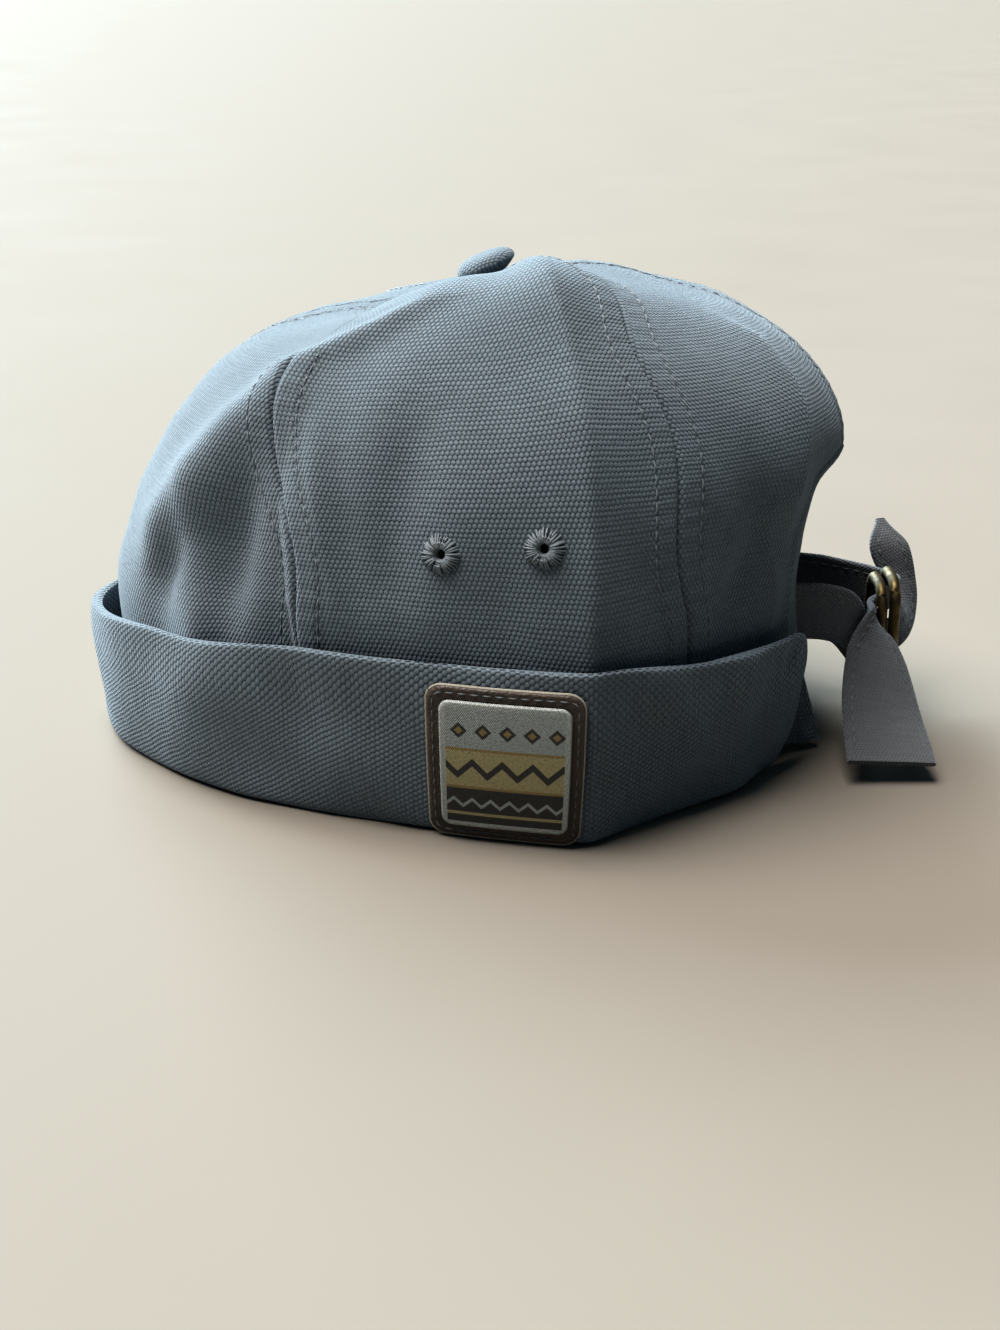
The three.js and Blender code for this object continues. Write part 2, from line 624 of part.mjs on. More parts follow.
function buttonMesh() {
  const outline = BUTTON_SECTION.map((row) => new THREE.Vector2(row.radius, row.height));
  const mesh = named('button', new THREE.LatheGeometry(outline, BUTTON_SIDES), CANVAS);
  mesh.geometry.rotateX(Math.PI / 2);
  mesh.rotation.y = BUTTON_LEAN;
  mesh.position.set(0, 0, CROWN_LEVELS.at(-1).leftZ + BUTTON_LIFT);
  return mesh;
}

// Row of a strap that lies against the inside of the crown
function seatRow({ az, z, width, turn }) {
  const t = levelAtHeight(az, z);
  const p = crownPoint(az, t).addScaledVector(crownNormal(az, t), -STRAP_SEAT_DEPTH);
  return { x: p.x, y: p.y, z, width, turn };
}

function strapGeometry(rows) {
  const route = new THREE.CatmullRomCurve3(rows.map((row) => new THREE.Vector3(row.x, row.y, row.z)));
  const steps = (rows.length - 1) * STRAP_STEPS_PER_ROW;
  const rings = [];
  for (let i = 0; i <= steps; i += 1) {
    const s = i / STRAP_STEPS_PER_ROW;
    const along = route.getTangent(i / steps);
    const turn = radians(alongRows(rows, 'turn', s));
    const across = new THREE.Vector3(Math.cos(turn), 0, Math.sin(turn));
    across.addScaledVector(along, -across.dot(along)).normalize();
    const out = new THREE.Vector3().crossVectors(along, across);
    const half = alongRows(rows, 'width', s) / 2;
    const corner = (a, b) => route.getPoint(i / steps)
      .addScaledVector(across, a * half).addScaledVector(out, b * STRAP_THICKNESS / 2);
    rings.push([corner(-1, -1), corner(0, -1), corner(1, -1), corner(1, 1), corner(0, 1), corner(-1, 1)]);
  }
  const { positions, index, around } = skinOverRings(rings);
  const last = (rings.length - 1) * around;
  for (const [a, b, c, d] of [[0, 1, 4, 5], [1, 2, 3, 4]]) {
    index.push(a, c, b, a, d, c);
    index.push(last + a, last + b, last + c, last + a, last + c, last + d);
  }
  return closedGeometry(positions, index);
}

// Upright ring of round wire, its plane along the strap
function ringMesh(ring) {
  const centre = roundedOutline(RING_HALF_LENGTH, RING_LOW_Z, RING_HIGH_Z, RING_CORNER);
  const points = centre.getSpacedPoints(RING_STEPS).slice(0, RING_STEPS);
  const positions = [];
  const index = [];
  points.forEach((p, i) => {
    const before = points[(i + RING_STEPS - 1) % RING_STEPS];
    const after = points[(i + 1) % RING_STEPS];
    const along = new THREE.Vector2().subVectors(after, before).normalize();
    for (let j = 0; j < RING_SIDES; j += 1) {
      const turn = 2 * Math.PI * j / RING_SIDES;
      const out = RING_WIRE / 2 * Math.cos(turn);
      positions.push(RING_WIRE / 2 * Math.sin(turn), p.x + along.y * out, p.y - along.x * out);
    }
  });
  for (let i = 0; i < RING_STEPS; i += 1) {
    for (let j = 0; j < RING_SIDES; j += 1) {
      const next = ((i + 1) % RING_STEPS) * RING_SIDES;
      const beside = (j + 1) % RING_SIDES;
      const a = i * RING_SIDES + j;
      const b = i * RING_SIDES + beside;
      const c = next + beside;
      const d = next + j;
      index.push(a, c, b, a, d, c);
    }
  }
  const mesh = named(ring.name, closedGeometry(positions, index), BRASS);
  mesh.position.set(ring.x, 0, ring.lift);
  return mesh;
}

const cap = new THREE.Group();
const arch = toSolid(archGeometry());
for (const panel of PANELS) {
  let solid = toSolid(panelGeometry(panel));
  if (panel.name.startsWith('panel_back')) solid = solid.subtract(arch);
  for (const eyelet of EYELETS) {
    if (eyelet.panel === panel.name) solid = solid.subtract(toSolid(eyeletHole(eyelet)));
  }
  cap.add(named(panel.name, toGeometry(solid), CANVAS));
}
cap.add(named('cuff', cuffGeometry(), CANVAS));
cap.add(buttonMesh());
for (const eyelet of EYELETS) cap.add(eyeletMesh(eyelet));
const faceLift = GAP + PATCH_THICKNESS + GAP;
cap.add(named('patch_backing', patchSheet(0, PATCH_CORNER, GAP, PATCH_THICKNESS), LEATHER));
cap.add(named('patch_face',
  patchSheet(PATCH_BORDER, PATCH_FACE_CORNER, faceLift, PATCH_FACE_THICKNESS), WOVEN_FACE));
const nearRows = STRAP_NEAR_SEAT.map(seatRow).concat(STRAP_NEAR);
const farRows = STRAP_FAR_SEAT.map(seatRow).concat(STRAP_FAR);
cap.add(named('strap_near', strapGeometry(nearRows), STRAP_CLOTH));
cap.add(named('strap_far', strapGeometry(farRows), STRAP_CLOTH));
for (const ring of RINGS) cap.add(ringMesh(ring));

// The frame's origin is the middle of the cap's footprint, on the surface it stands on
cap.updateMatrixWorld(true);
const bounds = new THREE.Box3().setFromObject(cap, true);
const middle = bounds.getCenter(new THREE.Vector3());
cap.position.set(-middle.x, -middle.y, -bounds.min.z);

export default cap;
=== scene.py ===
"""Docker cap in coarse slate canvas, standing on its folded cuff.

Sizes are millimetres from the crown's axis.
"""
import math

import bmesh
import bpy
import numpy as np
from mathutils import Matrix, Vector


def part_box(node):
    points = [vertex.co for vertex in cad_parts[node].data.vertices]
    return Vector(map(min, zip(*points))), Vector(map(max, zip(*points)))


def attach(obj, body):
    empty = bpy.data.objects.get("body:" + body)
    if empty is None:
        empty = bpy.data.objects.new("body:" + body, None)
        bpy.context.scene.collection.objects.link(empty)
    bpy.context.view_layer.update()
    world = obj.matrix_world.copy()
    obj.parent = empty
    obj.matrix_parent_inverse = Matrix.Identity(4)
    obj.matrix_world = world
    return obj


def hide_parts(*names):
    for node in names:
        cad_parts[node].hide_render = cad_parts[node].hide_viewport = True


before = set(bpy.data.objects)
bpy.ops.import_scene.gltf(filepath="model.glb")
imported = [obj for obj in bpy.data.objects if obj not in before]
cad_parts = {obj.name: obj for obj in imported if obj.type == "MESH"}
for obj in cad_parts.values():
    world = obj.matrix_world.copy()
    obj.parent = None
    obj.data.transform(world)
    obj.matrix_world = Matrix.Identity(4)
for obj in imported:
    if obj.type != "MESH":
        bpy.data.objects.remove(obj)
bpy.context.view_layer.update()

MM = 0.001
SEED = 7
UV_NAME = "cloth_mm"

# Outline of the crown at even levels from hem to top: reach and height at the left, front, back and right
CROWN_LEVELS = np.array((
    (72, 2.6, 96, 2.6, 84, 2.6, 75, 2.6),
    (76, 43, 99.5, 38, 88, 42, 79, 42),
    (76, 60, 95.5, 57, 91, 61, 79, 60),
    (72, 82, 87.3, 75.5, 93.5, 82, 76, 80),
    (63, 101, 75, 93.2, 80.8, 101.8, 66, 97),
    (50, 116, 59, 105, 64.3, 112.8, 53, 108),
    (36, 125, 39, 110, 45, 119, 37, 114),
    (19, 123, 19, 113.5, 22, 123.5, 19, 117),
    (0, 119, 0, 119, 0, 119, 0, 119),
))
HEM_Z = 2.6
TOP_Z = 119
TOP_HOLE_LEVEL = 0.97
WALL_TOP_LEVEL = 0.7
PLAN_EXPONENT_LOW = 1.75
PLAN_EXPONENT_TOP = 2.0
PANEL_WALL = 1.8

# Creases and folds: angles of both ends, their levels, angular half-widths before and after,
# how far both ends stand out, and the power of the falling off
SIDE_CREASE = (15, 18.3, -0.1, 0.74, 24, 30, 14.5, 5.5, 1.3)
RIGHT_CREASE = (168, 170, -0.1, 0.8, 30, 26, 6, 1.5, 1.6)
CROWN_FOLDS = (
    SIDE_CREASE,
    (18, 28, 0.64, 0.9, 22, 40, 3, 4.5, 2),
    (-66, -48.5, 0.29, 0.556, 14, 16, 7, 4.5, 2),
    (-49.5, -20, 0.556, 0.7, 12, 14, 3.5, 3, 1.9),
    (-53, -50, 0.12, 0.38, 11, 8, -4, -6, 2),
    (-36.5, -41.5, 0.06, 0.36, 16, 3.5, -4, -4, 1.6),
    (-55, -56, 0.02, 0.2, 10, 5, 5, 5, 1.6),
    (-66, -64, 0.2, 0.28, 6, 7, -8, -7, 2),
    (76, 76, -0.1, 0.36, 14, 16, 1, -6, 1.8),
    (60, 68, 0.32, 0.56, 14, 7, 4, 6.5, 1.2),
    (76, 76, -0.1, 0.08, 9, 16, 10, 12, 2),
    (-18, -14, 0.2, 0.48, 9, 10, -1.5, -2, 2),
    RIGHT_CREASE,
)
# Small wrinkles of the cloth, in the same columns
WRINKLES = (
    (15.6, 18.2, 0.05, 0.72, 2.6, 2.6, 1.1, 0.7, 1.1),
    (-28, -36, 0.24, 0.46, 4, 3, 1.1, 0.9, 1.6),
    (-23, -30, 0.24, 0.44, 4, 5, -0.9, -0.7, 1.8),
    (-10, -9, 0.14, 0.2, 8, 8, 1, 1, 2),
    (4, 2, 0.12, 0.24, 6, 6, -0.8, -0.8, 2),
    (27, 25, 0.12, 0.4, 6, 5, -0.7, -0.5, 2),
    (48, 52, 0.15, 0.34, 8, 8, -2, -2, 2),
    (60, 55, 0.14, 0.28, 3, 3, 1, 1.2, 1.3),
)
CUFF_SWELL = (46, 46, -0.1, 0.3, 20, 20, 1.8, 1.8, 2)
CUFF_CREASES = (SIDE_CREASE, RIGHT_CREASE, CUFF_SWELL)
CUFF_CREASE_LEVEL = 0.06
FOLD_FALLOFF = 1.6
FOLD_FADE = 0.12

# Angle of each seam at even levels from the hem to the centre of the top
SEAMS = ("left_front", "left_back", "back", "right_back", "right_front", "front")
SEAM_LEVELS = np.array((
    (-35.5, 38.5, 90, 144, 212, 262),
    (-35.5, 36.5, 90, 145, 211, 262),
    (-36, 33, 90, 146, 210, 261),
    (-44, 35, 91, 148, 209, 258),
    (-48, 33.8, 96, 150, 207, 254),
    (-46.5, 40.5, 102, 153, 206, 251),
    (-45, 40, 104, 154, 205, 250),
    (-45, 39, 104, 154, 205, 250),
))
PANELS = (
    ("panel_left", "left_front", "left_back"),
    ("panel_back_left", "left_back", "back"),
    ("panel_back_right", "back", "right_back"),
    ("panel_right", "right_back", "right_front"),
    ("panel_front_right", "right_front", "front"),
    ("panel_front_left", "front", "left_front"),
)

# How finely a panel is divided, and the relief beside its seams
PANEL_ROWS = 130
EDGE_COLUMNS = 22
MIDDLE_COLUMNS = 44
EDGE_ZONE = 10.0
EDGE_SHARE = 0.3
ROW_SAMPLES = 240
SEAM_GAP = 0.06
GROOVE_DEPTH = 0.5
GROOVE_WIDTH = 0.38
ALLOWANCE_LIFT = 0.4
ALLOWANCE_RISE = (0.2, 1.6)
ALLOWANCE_FALL = 1.6
STITCH_OFFSET = 6.8
STITCH_DENT = 0.4
STITCH_DENT_WIDTH = 0.5
PUCKER_LIFT = 0.08
PUCKER_PITCH = 4.7
PUCKER_DRIFT = 13
PUCKER_RISE = (0.4, 2)
PUCKER_FALL = (6, 10)
SEAM_FADE = (6, 26)
HEM_LIFT = 0.7
HEM_FALL = 1.2
HEM_ROUND = 1.2
# Levels between which the fold over the left front seam hides it
HIDDEN_SEAM = "left_front"
HIDDEN_LEVELS = (0.55, 0.62)
CLOTH_WAVES = 7
CLOTH_WAVE_LIFT = 0.12
CLOTH_WAVE_LENGTH = (16, 38)
CLOTH_WAVE_PHASE = 6.3

# Arched opening at the back
ARCH_NEAR_FOOT = 22
ARCH_FAR_FOOT = 26
ARCH_HALF_WIDTH = 31
ARCH_FOOT_Z = -5
ARCH_SPRING_Z = 60
ARCH_TOP_Z = 77
ARCH_ROWS = (0.0, 0.0008, 0.003, 0.007, 0.0125, 0.019)

# Cuff
CUFF_END_AZ = 66
CUFF_WALL = 2.6
CUFF_END_SLANT = 4
CUFF_SLANT_REACH = 14
CUFF_FLARE = 5
CUFF_FRONT_FLARE = 2
CUFF_BELLY = 1.2
CUFF_FOOT_WIDTH = 12
CUFF_FOOT_Z = 2.2
CUFF_STEPS = 400
CUFF_CORNER_AZ = 3.2
CUFF_CORNER_STEPS = 12
CUFF_CORNER_DROP = 4
CUFF_CORNER_RISE = (0.6, 1.0)
CUFF_SUB_STEPS = 6
# Distances in from the outside between which its dents and swell set in
CUFF_OUTSIDE = (1.6, 0.4)
CUFF_SWELL_SHARE = 2
CUFF_MIDDLE_ROW = 20
CUFF_PLAN = {"left": 77, "front": 104.5, "back": 89.5, "right": 80}
# Its section: distance in from the outside, height in mm, height as a share of the rim's
CUFF_SECTION = np.array((
    (3.4, 0, 0),
    (1.5, 0.6, 0),
    (0.2, 2.6, 0),
    (0, 0, 0.3),
    (0, 0, 0.65),
    (0, 0, 0.955),
    (CUFF_WALL * 0.3, 0, 1),
    (CUFF_WALL * 0.7, 0, 1),
    (CUFF_WALL, 0, 0.955),
    (CUFF_WALL, 0, 0.65),
    (CUFF_WALL, 0, 0.3),
    (CUFF_WALL + 0.8, CUFF_FOOT_Z, 0),
    (CUFF_FOOT_WIDTH, CUFF_FOOT_Z, 0),
    (CUFF_FOOT_WIDTH, 0, 0),
))
# Height of its rim by angle
CUFF_RIM = np.array((
    (-180, 37), (-90, 34.5), (-60, 39.5), (-30, 44), (15, 44.5),
    (40, 39.5), (66, 37), (114, 37), (140, 38), (180, 37),
))

# Dents and swells of its outside: angle, level, half-widths of both, and how far they stand out
CUFF_DENTS = (
    (61, 0.88, 2.2, 0.1, -1.3),
    (52, 0.55, 4, 0.4, -0.7),
    (36, 0.5, 5, 0.5, 0.5),
    (-33, 0.6, 5, 0.35, -0.8),
    (-52, 0.75, 7, 0.2, 0.6),
)

# Patch on the left of the cuff
PATCH_AZ = 2.6
PATCH_MID_Z = 20.6
PATCH_WIDTH = 37
PATCH_HEIGHT = 39.6
PATCH_CORNER = 4
PATCH_LIFT = 0.3
PATCH_THICKNESS = 1.6
PATCH_BORDER = 3.3
PATCH_FACE_CORNER = 2.5
PATCH_FACE_LIFT = 2.2
PATCH_FACE_THICKNESS = 0.8
PATCH_ROUND = 0.8
PATCH_FACE_ROUND = 0.5
PATCH_POINTS = 200
PATCH_SHARES = np.concatenate((np.linspace(0.02, 0.8, 14), np.linspace(0.83, 1, 14)))
PATCH_STITCH_INSET = 1.7
PATCH_STITCH_LIFT = 0.02
PATCH_STITCH = {"length": 2.2, "pitch": 3.0, "radius": 0.22}
PATCH_EDGE_INSET = 0.1
PATCH_EDGE_DROP = 0.75
PATCH_EDGE_RADIUS = 0.32
PATCH_TURNS = np.arange(-45, 45, 0.1)

# Eyelets: the panel, angle and height
EYELETS = {
    "eyelet_1": ("panel_left", -8, 68.7),
    "eyelet_2": ("panel_left", 9.2, 71.5),
    "eyelet_3": ("panel_right", 171, 68),
    "eyelet_4": ("panel_right", 188, 68),
}
EYELET_THREADS = 36
EYELET_HOLE = 1.9
EYELET_CUT_DEPTH = 12
EYELET_UNEVEN = 0.25
EYELET_REACH = (4.1, 5.0)
EYELET_RISE = (-0.08, 0.12)
# One of its threads from the hole outwards: distance (the last is its reach), height, drift and radius
EYELET_THREAD = np.array((
    (1.25, -1.6, 0, 0.2),
    (1.3, 0.1, 0, 0.24),
    (1.8, 1.0, 0.2, 0.27),
    (2.7, 1.15, 0.5, 0.29),
    (3.6, 0.75, 0.8, 0.28),
    (EYELET_REACH[1], -0.1, 1.0, 0.18),
))

# Button: radius and height of its section
BUTTON_SECTION = np.array((
    (0.01, -1.7), (2.4, -1.7), (4.8, -0.9), (6.9, 0.4), (7.7, 1.3),
    (7.5, 2.5), (6.2, 3.7), (3.8, 4.4), (0.01, 4.6),
))
BUTTON_LIFT = 2.7
BUTTON_LEAN = -22
BUTTON_SIDES = 72
BUTTON_RINGS = 49
# Gathers of its cloth: their number, depth and the heights between which they set in
BUTTON_GATHERS = 9
BUTTON_GATHER_DEPTH = 0.012
BUTTON_GATHER_RISE = (4.2, 1.0)

# Strap ends: place, width and angle of the width from +X towards +Z
STRAP_THICKNESS = 1.6
STRAP_SEAT_DEPTH = 4.4
STRAP_STEPS = 16
STRAP_COLUMNS = 20
STRAP_EDGE_ROUND = 0.8
STRAP_EDGE_LEAST = 0.05
STRAP_STITCH_INSET = 2.4
STRAP_STITCH_ROOM = 2
STRAP_STITCH_END = 2.5
STRAP_STITCH_DENT = 0.16
STRAP_STITCH_SINK = 0.1
# Seats against the inside of the crown: angle, height, width and the turn of the width
NEAR_SEAT = ((60, 38, 15.5, 90), (65, 38, 15.5, 90), (70, 38, 15.5, 90))
FAR_SEAT = ((120, 28.5, 23, -90), (115, 28.5, 23, -90), (110, 28.5, 23, -90))
NEAR_ROUTE = (
    (92, -18.5, 34.6, 14.5, 90),
    (98, -13.6, 25.2, 11, 90),
    (101, -9.5, 21.9, 8.8, 90),
    (106.6, 0.4, 22.6, 9, 90),
    (112.8, 6, 22.2, 9.4, 90),
    (116, 13.5, 25, 9.5, 115),
    (115, 19, 33, 9.5, 150),
    (111.5, 22.5, 42, 11, 168),
    (110, 28.5, 47.5, 3, 172),
)
FAR_ROUTE = (
    (95, 24, 28.5, 20, -90),
    (106, 17, 31.5, 12.5, -90),
    (112.2, 9, 33.2, 8, -90),
    (106.6, 0.5, 32.4, 6.4, -90),
    (101.6, -9, 32.8, 6.8, -86),
    (102.4, -13.5, 31, 11, -62),
    (101.9, -20, 24.8, 17.2, -31),
    (101.6, -32, 15, 22, -20),
    (101.9, -49, 5.6, 22.8, -4),
)

# Brass rings: place along X and lift
RINGS = {"ring_1": (104.9, 0), "ring_2": (108.3, 1.5)}
RING_WIRE = 3
RING_HALF_LENGTH = 8.5
RING_LOW_Z = 14
RING_HIGH_Z = 38.5
RING_CORNER = 6
RING_STEPS = 120
RING_SIDES = 18

# Camera
CAMERA_PLACE = (3, -515, 201.7)
CAMERA_PITCH = 20
CAMERA_LENS = 2000 * 36 / 1330

# Half-sizes of the weave's knots as shares of its repeat, and the power of their rounding
KNOT_LENGTH = 0.52
KNOT_HEIGHT = 0.34
KNOT_ROUND = 0.5

# Colours that each material is mixed from
# In each canvas pair the first colour is the one between the threads, kept dark as painted shade in the
# weave's hollows
CANVAS = ((0.015, 0.02, 0.025), (0.153, 0.187, 0.216))
STRAP_CANVAS = ((0.025, 0.0265, 0.0295), (0.124, 0.127, 0.136))
DARK_THREAD = ((0.03, 0.035, 0.04), (0.1, 0.11, 0.12))
SEAM_THREAD = ((0.06, 0.07, 0.08), (0.19, 0.22, 0.245))
EYELET_YARN = ((0.06, 0.075, 0.087), (0.19, 0.22, 0.245))
CREAM_THREAD = ((0.2, 0.185, 0.15), (0.34, 0.32, 0.26))
LEATHER = ((0.022, 0.015, 0.011), (0.055, 0.038, 0.028))
LEATHER_RUBBED = (0.13, 0.1, 0.075)
BRASS = ((0.14, 0.105, 0.05), (0.05, 0.04, 0.025))
FLOOR = ((0.146, 0.13, 0.11), (0.168, 0.151, 0.13))
SKY = (0.5, 0.8, 1.0)
# Woven label: its colours, the heights where its bands meet and the width of its rim
LABEL_PALE = (0.3, 0.33, 0.32)
LABEL_STRAW = (0.36, 0.31, 0.15)
LABEL_DARK = (0.012, 0.011, 0.01)
LABEL_OCHRE = (0.26, 0.18, 0.06)
LABEL_RIM = (0.36, 0.385, 0.365)
LABEL_BANDS = (4.6, -5.4)
LABEL_RIM_WIDTH = 1.5

# Lights: the way towards each, its strength, its spread in degrees and its colour
SUNS = {
    "window": ((-0.5, 0.74, 0.45), 11.0, 44, (0.76, 0.93, 1.0)),
    "ceiling": ((-0.36, 0.05, 0.93), 8.0, 48, (1.0, 0.95, 0.9)),
}
SKY_STRENGTH = 0.12
FLOOR_SIZE = 40

# Stitches
STITCH_LENGTH = 2.5
STITCH_PITCH = 3.2
STITCH_RADIUS = 0.22
# How far the stitches stand above the plain cloth, and those of the seams along the cap's middle
STITCH_RAISE = 0.22
MIDDLE_STITCH_RAISE = 0.04
MIDDLE_SEAMS = ("front", "back")
STITCH_RINGS = 6
# Shares of a stitch's radius: how far it bows up, how deep its ends lie and how thick they are
STITCH_BOW = 1.6
STITCH_SINK = 0.9
STITCH_END = 0.65
SEAM_STITCH_LEVELS = np.linspace(0.02, 0.93, 150)
TUBE_SIDES = 6


def box_middle(node):
    """Middle of a solid's box, in mm"""
    low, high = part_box(node)
    return (np.array(low) + np.array(high)) / 2 / MM


# The frame's origin is the middle of the footprint; both offsets come from solids even about the axis
FRAME_SHIFT = np.array((
    box_middle("ring_1")[0] - RINGS["ring_1"][0],
    box_middle("button")[1],
    0.0,
))


def lerp(a, b, u):
    return a + (b - a) * u


def smoothstep(x, low, high):
    u = np.clip((x - low) / (high - low), 0, 1)
    return u * u * (3 - 2 * u)


def wrapped(az):
    return (az + 180) % 360 - 180


def unit(v):
    return v / np.maximum(np.linalg.norm(v, axis=-1, keepdims=True), 1e-9)


def distance_along(points):
    """Distance of each point of a row from the first"""
    return np.concatenate(((0.0,), np.cumsum(np.linalg.norm(np.diff(points, axis=0), axis=1))))


def turned(az, r, z):
    """Point at an angle, a distance from the axis and a height"""
    return np.stack((r * np.sin(np.radians(az)), -r * np.cos(np.radians(az)), z), axis=-1)


def hermite(u, a, b, slope_a, slope_b):
    return ((2 * u**3 - 3 * u**2 + 1) * a + (u**3 - 2 * u**2 + u) * slope_a
            + (3 * u**2 - 2 * u**3) * b + (u**3 - u**2) * slope_b)


def at_distance(s, far, points):
    """Points of a row at distances along it"""
    return np.stack([np.interp(s, far, column) for column in points.T], axis=-1)


def interp_rows(x, known_x, known_y):
    return np.array([np.interp(*row) for row in zip(x, known_x, known_y)])


def along_rows(values, s):
    """Smooth curve through a column of a table at even steps"""
    last = len(values) - 1
    i = np.clip(np.floor(s).astype(int), 0, last - 1)
    u = s - i
    before, here = values[np.clip(i - 1, 0, last)], values[i]
    after, beyond = values[i + 1], values[np.clip(i + 2, 0, last)]
    return hermite(u, here, after, (after - before) / 2, (beyond - here) / 2)


def plan_reach(az, side, end, exponent):
    s = np.abs(np.sin(np.radians(az)))
    c = np.abs(np.cos(np.radians(az)))
    return ((s / end) ** exponent + (c / side) ** exponent) ** (-1 / exponent)


def fold_out(row, az, t):
    az0, az1, t0, t1, before, after, out0, out1, power = row
    u = np.clip((t - t0) / (t1 - t0), 0, 1)
    turn = wrapped(az - lerp(az0, az1, u))
    reach = np.where(turn < 0, before, after)
    across = np.exp(-(np.abs(turn / reach * FOLD_FALLOFF) ** power))
    along = smoothstep(t, t0 - FOLD_FADE, t0 + FOLD_FADE)
    along = along * (1 - smoothstep(t, t1 - FOLD_FADE, t1 + FOLD_FADE))
    return lerp(out0, out1, u) * across * along


def crown_base(az, t):
    s = t * (len(CROWN_LEVELS) - 1)
    left_r, left_z, front_r, front_z, back_r, back_z, right_r, right_z = (
        along_rows(column, s) for column in CROWN_LEVELS.T)
    at_front = np.sin(np.radians(az)) < 0
    at_left = np.cos(np.radians(az)) > 0
    end_r = np.maximum(np.where(at_front, front_r, back_r), 0.01)
    side_r = np.maximum(np.where(at_left, left_r, right_r), 0.01)
    end_z = np.where(at_front, front_z, back_z)
    side_z = np.where(at_left, left_z, right_z)
    r = plan_reach(az, side_r, end_r, lerp(PLAN_EXPONENT_LOW, PLAN_EXPONENT_TOP, t))
    return r, lerp(side_z, end_z, np.sin(np.radians(az)) ** 2)


def crown_point(az, t):
    """Point of the crown's outer surface at an angle and level"""
    step = 0.01
    r, z = crown_base(az, t)
    low_r, low_z = crown_base(az, np.maximum(t - step, 0))
    high_r, high_z = crown_base(az, np.minimum(t + step, 1))
    rise, run = high_z - low_z, high_r - low_r
    length = np.hypot(rise, run)
    out = sum(fold_out(fold, az, t) for fold in CROWN_FOLDS + WRINKLES)
    r = r + out * rise / length
    return turned(az, r, z - out * run / length)


def crown_normal(az, t):
    turn, step = 0.4, 0.004
    around = crown_point(az + turn, t) - crown_point(az - turn, t)
    up = crown_point(az, np.minimum(t + step, 1)) - crown_point(az, np.maximum(t - step, 0))
    return unit(np.cross(around, up))


def level_at_height(az, z):
    low, high = 0.0, WALL_TOP_LEVEL
    for _ in range(30):
        mid = (low + high) / 2
        if crown_point(np.array(az), np.array(mid))[2] < z:
            low = mid
        else:
            high = mid
    return low


def seam_angle(name, t):
    return along_rows(SEAM_LEVELS[:, SEAMS.index(name)], np.asarray(t) * (len(SEAM_LEVELS) - 1))


def arch_clear(points):
    """How far points stand outside the arch's edge, negative inside it"""
    y, z = points[..., 1], points[..., 2]
    foot = np.where(y < 0, ARCH_NEAR_FOOT, ARCH_FAR_FOOT)
    leg = lerp(foot, ARCH_HALF_WIDTH, (z - ARCH_FOOT_Z) / (ARCH_SPRING_Z - ARCH_FOOT_Z))
    rise = (z - ARCH_SPRING_Z) / (ARCH_TOP_Z - ARCH_SPRING_Z)
    bow = ARCH_HALF_WIDTH * np.sqrt(np.maximum(1 - rise**2, 0))
    half = np.where(z < ARCH_SPRING_Z, leg, np.where(z < ARCH_TOP_Z, bow, 0))
    return np.abs(y) - half


def cloth_waves(points):
    """Small uneven swell of the cloth"""
    rng = np.random.default_rng(SEED)
    swell = np.zeros(points.shape[:-1])
    for _ in range(CLOTH_WAVES):
        way = unit(rng.normal(size=3))
        pitch = rng.uniform(*CLOTH_WAVE_LENGTH)
        swell += np.sin(points @ way * (2 * math.pi / pitch) + rng.uniform(0, CLOTH_WAVE_PHASE))
    return swell * CLOTH_WAVE_LIFT


def stitch_dent(distance):
    return -STITCH_DENT * np.exp(-((distance - STITCH_OFFSET) / STITCH_DENT_WIDTH) ** 2)


def seam_relief(distance, height):
    """Groove at a seam, the lift of its folded edges and the dents along its stitches"""
    groove = -GROOVE_DEPTH * np.exp(-(distance / GROOVE_WIDTH) ** 2)
    fall = smoothstep(distance, STITCH_OFFSET, STITCH_OFFSET + ALLOWANCE_FALL)
    lift = ALLOWANCE_LIFT * (smoothstep(distance, *ALLOWANCE_RISE) - fall)
    pull = np.sin(2 * math.pi * height / PUCKER_PITCH + 2 * np.sin(height / PUCKER_DRIFT))
    pucker = PUCKER_LIFT * pull * (smoothstep(distance, *PUCKER_RISE) - smoothstep(distance, *PUCKER_FALL))
    return groove + lift + stitch_dent(distance) + pucker


def hem_relief(distance):
    """Turned-under edge: thicker along the arch and rounded off at its rim"""
    lift = HEM_LIFT * (1 - smoothstep(distance, STITCH_OFFSET, STITCH_OFFSET + HEM_FALL))
    return lift + stitch_dent(distance) - HEM_ROUND * np.clip(1 - distance / HEM_ROUND, 0, 1) ** 2


def seam_strength(name, t):
    return 1 - smoothstep(t, *HIDDEN_LEVELS) * (name == HIDDEN_SEAM)


def measured_rows(start, stop, t):
    """Angles across the crown at each level and their distance from the first"""
    az = np.linspace(start, stop, ROW_SAMPLES, axis=1)
    points = crown_point(az, t[:, None])
    steps = np.linalg.norm(np.diff(points, axis=1), axis=-1)
    return az, np.concatenate((np.zeros((len(t), 1)), np.cumsum(steps, axis=1)), axis=1)


def whole_rows(first, second, t):
    """Rows of a panel from seam to seam"""
    stop = seam_angle(second, t) + (360 if second == "left_front" else 0)
    return measured_rows(seam_angle(first, t), stop, t)


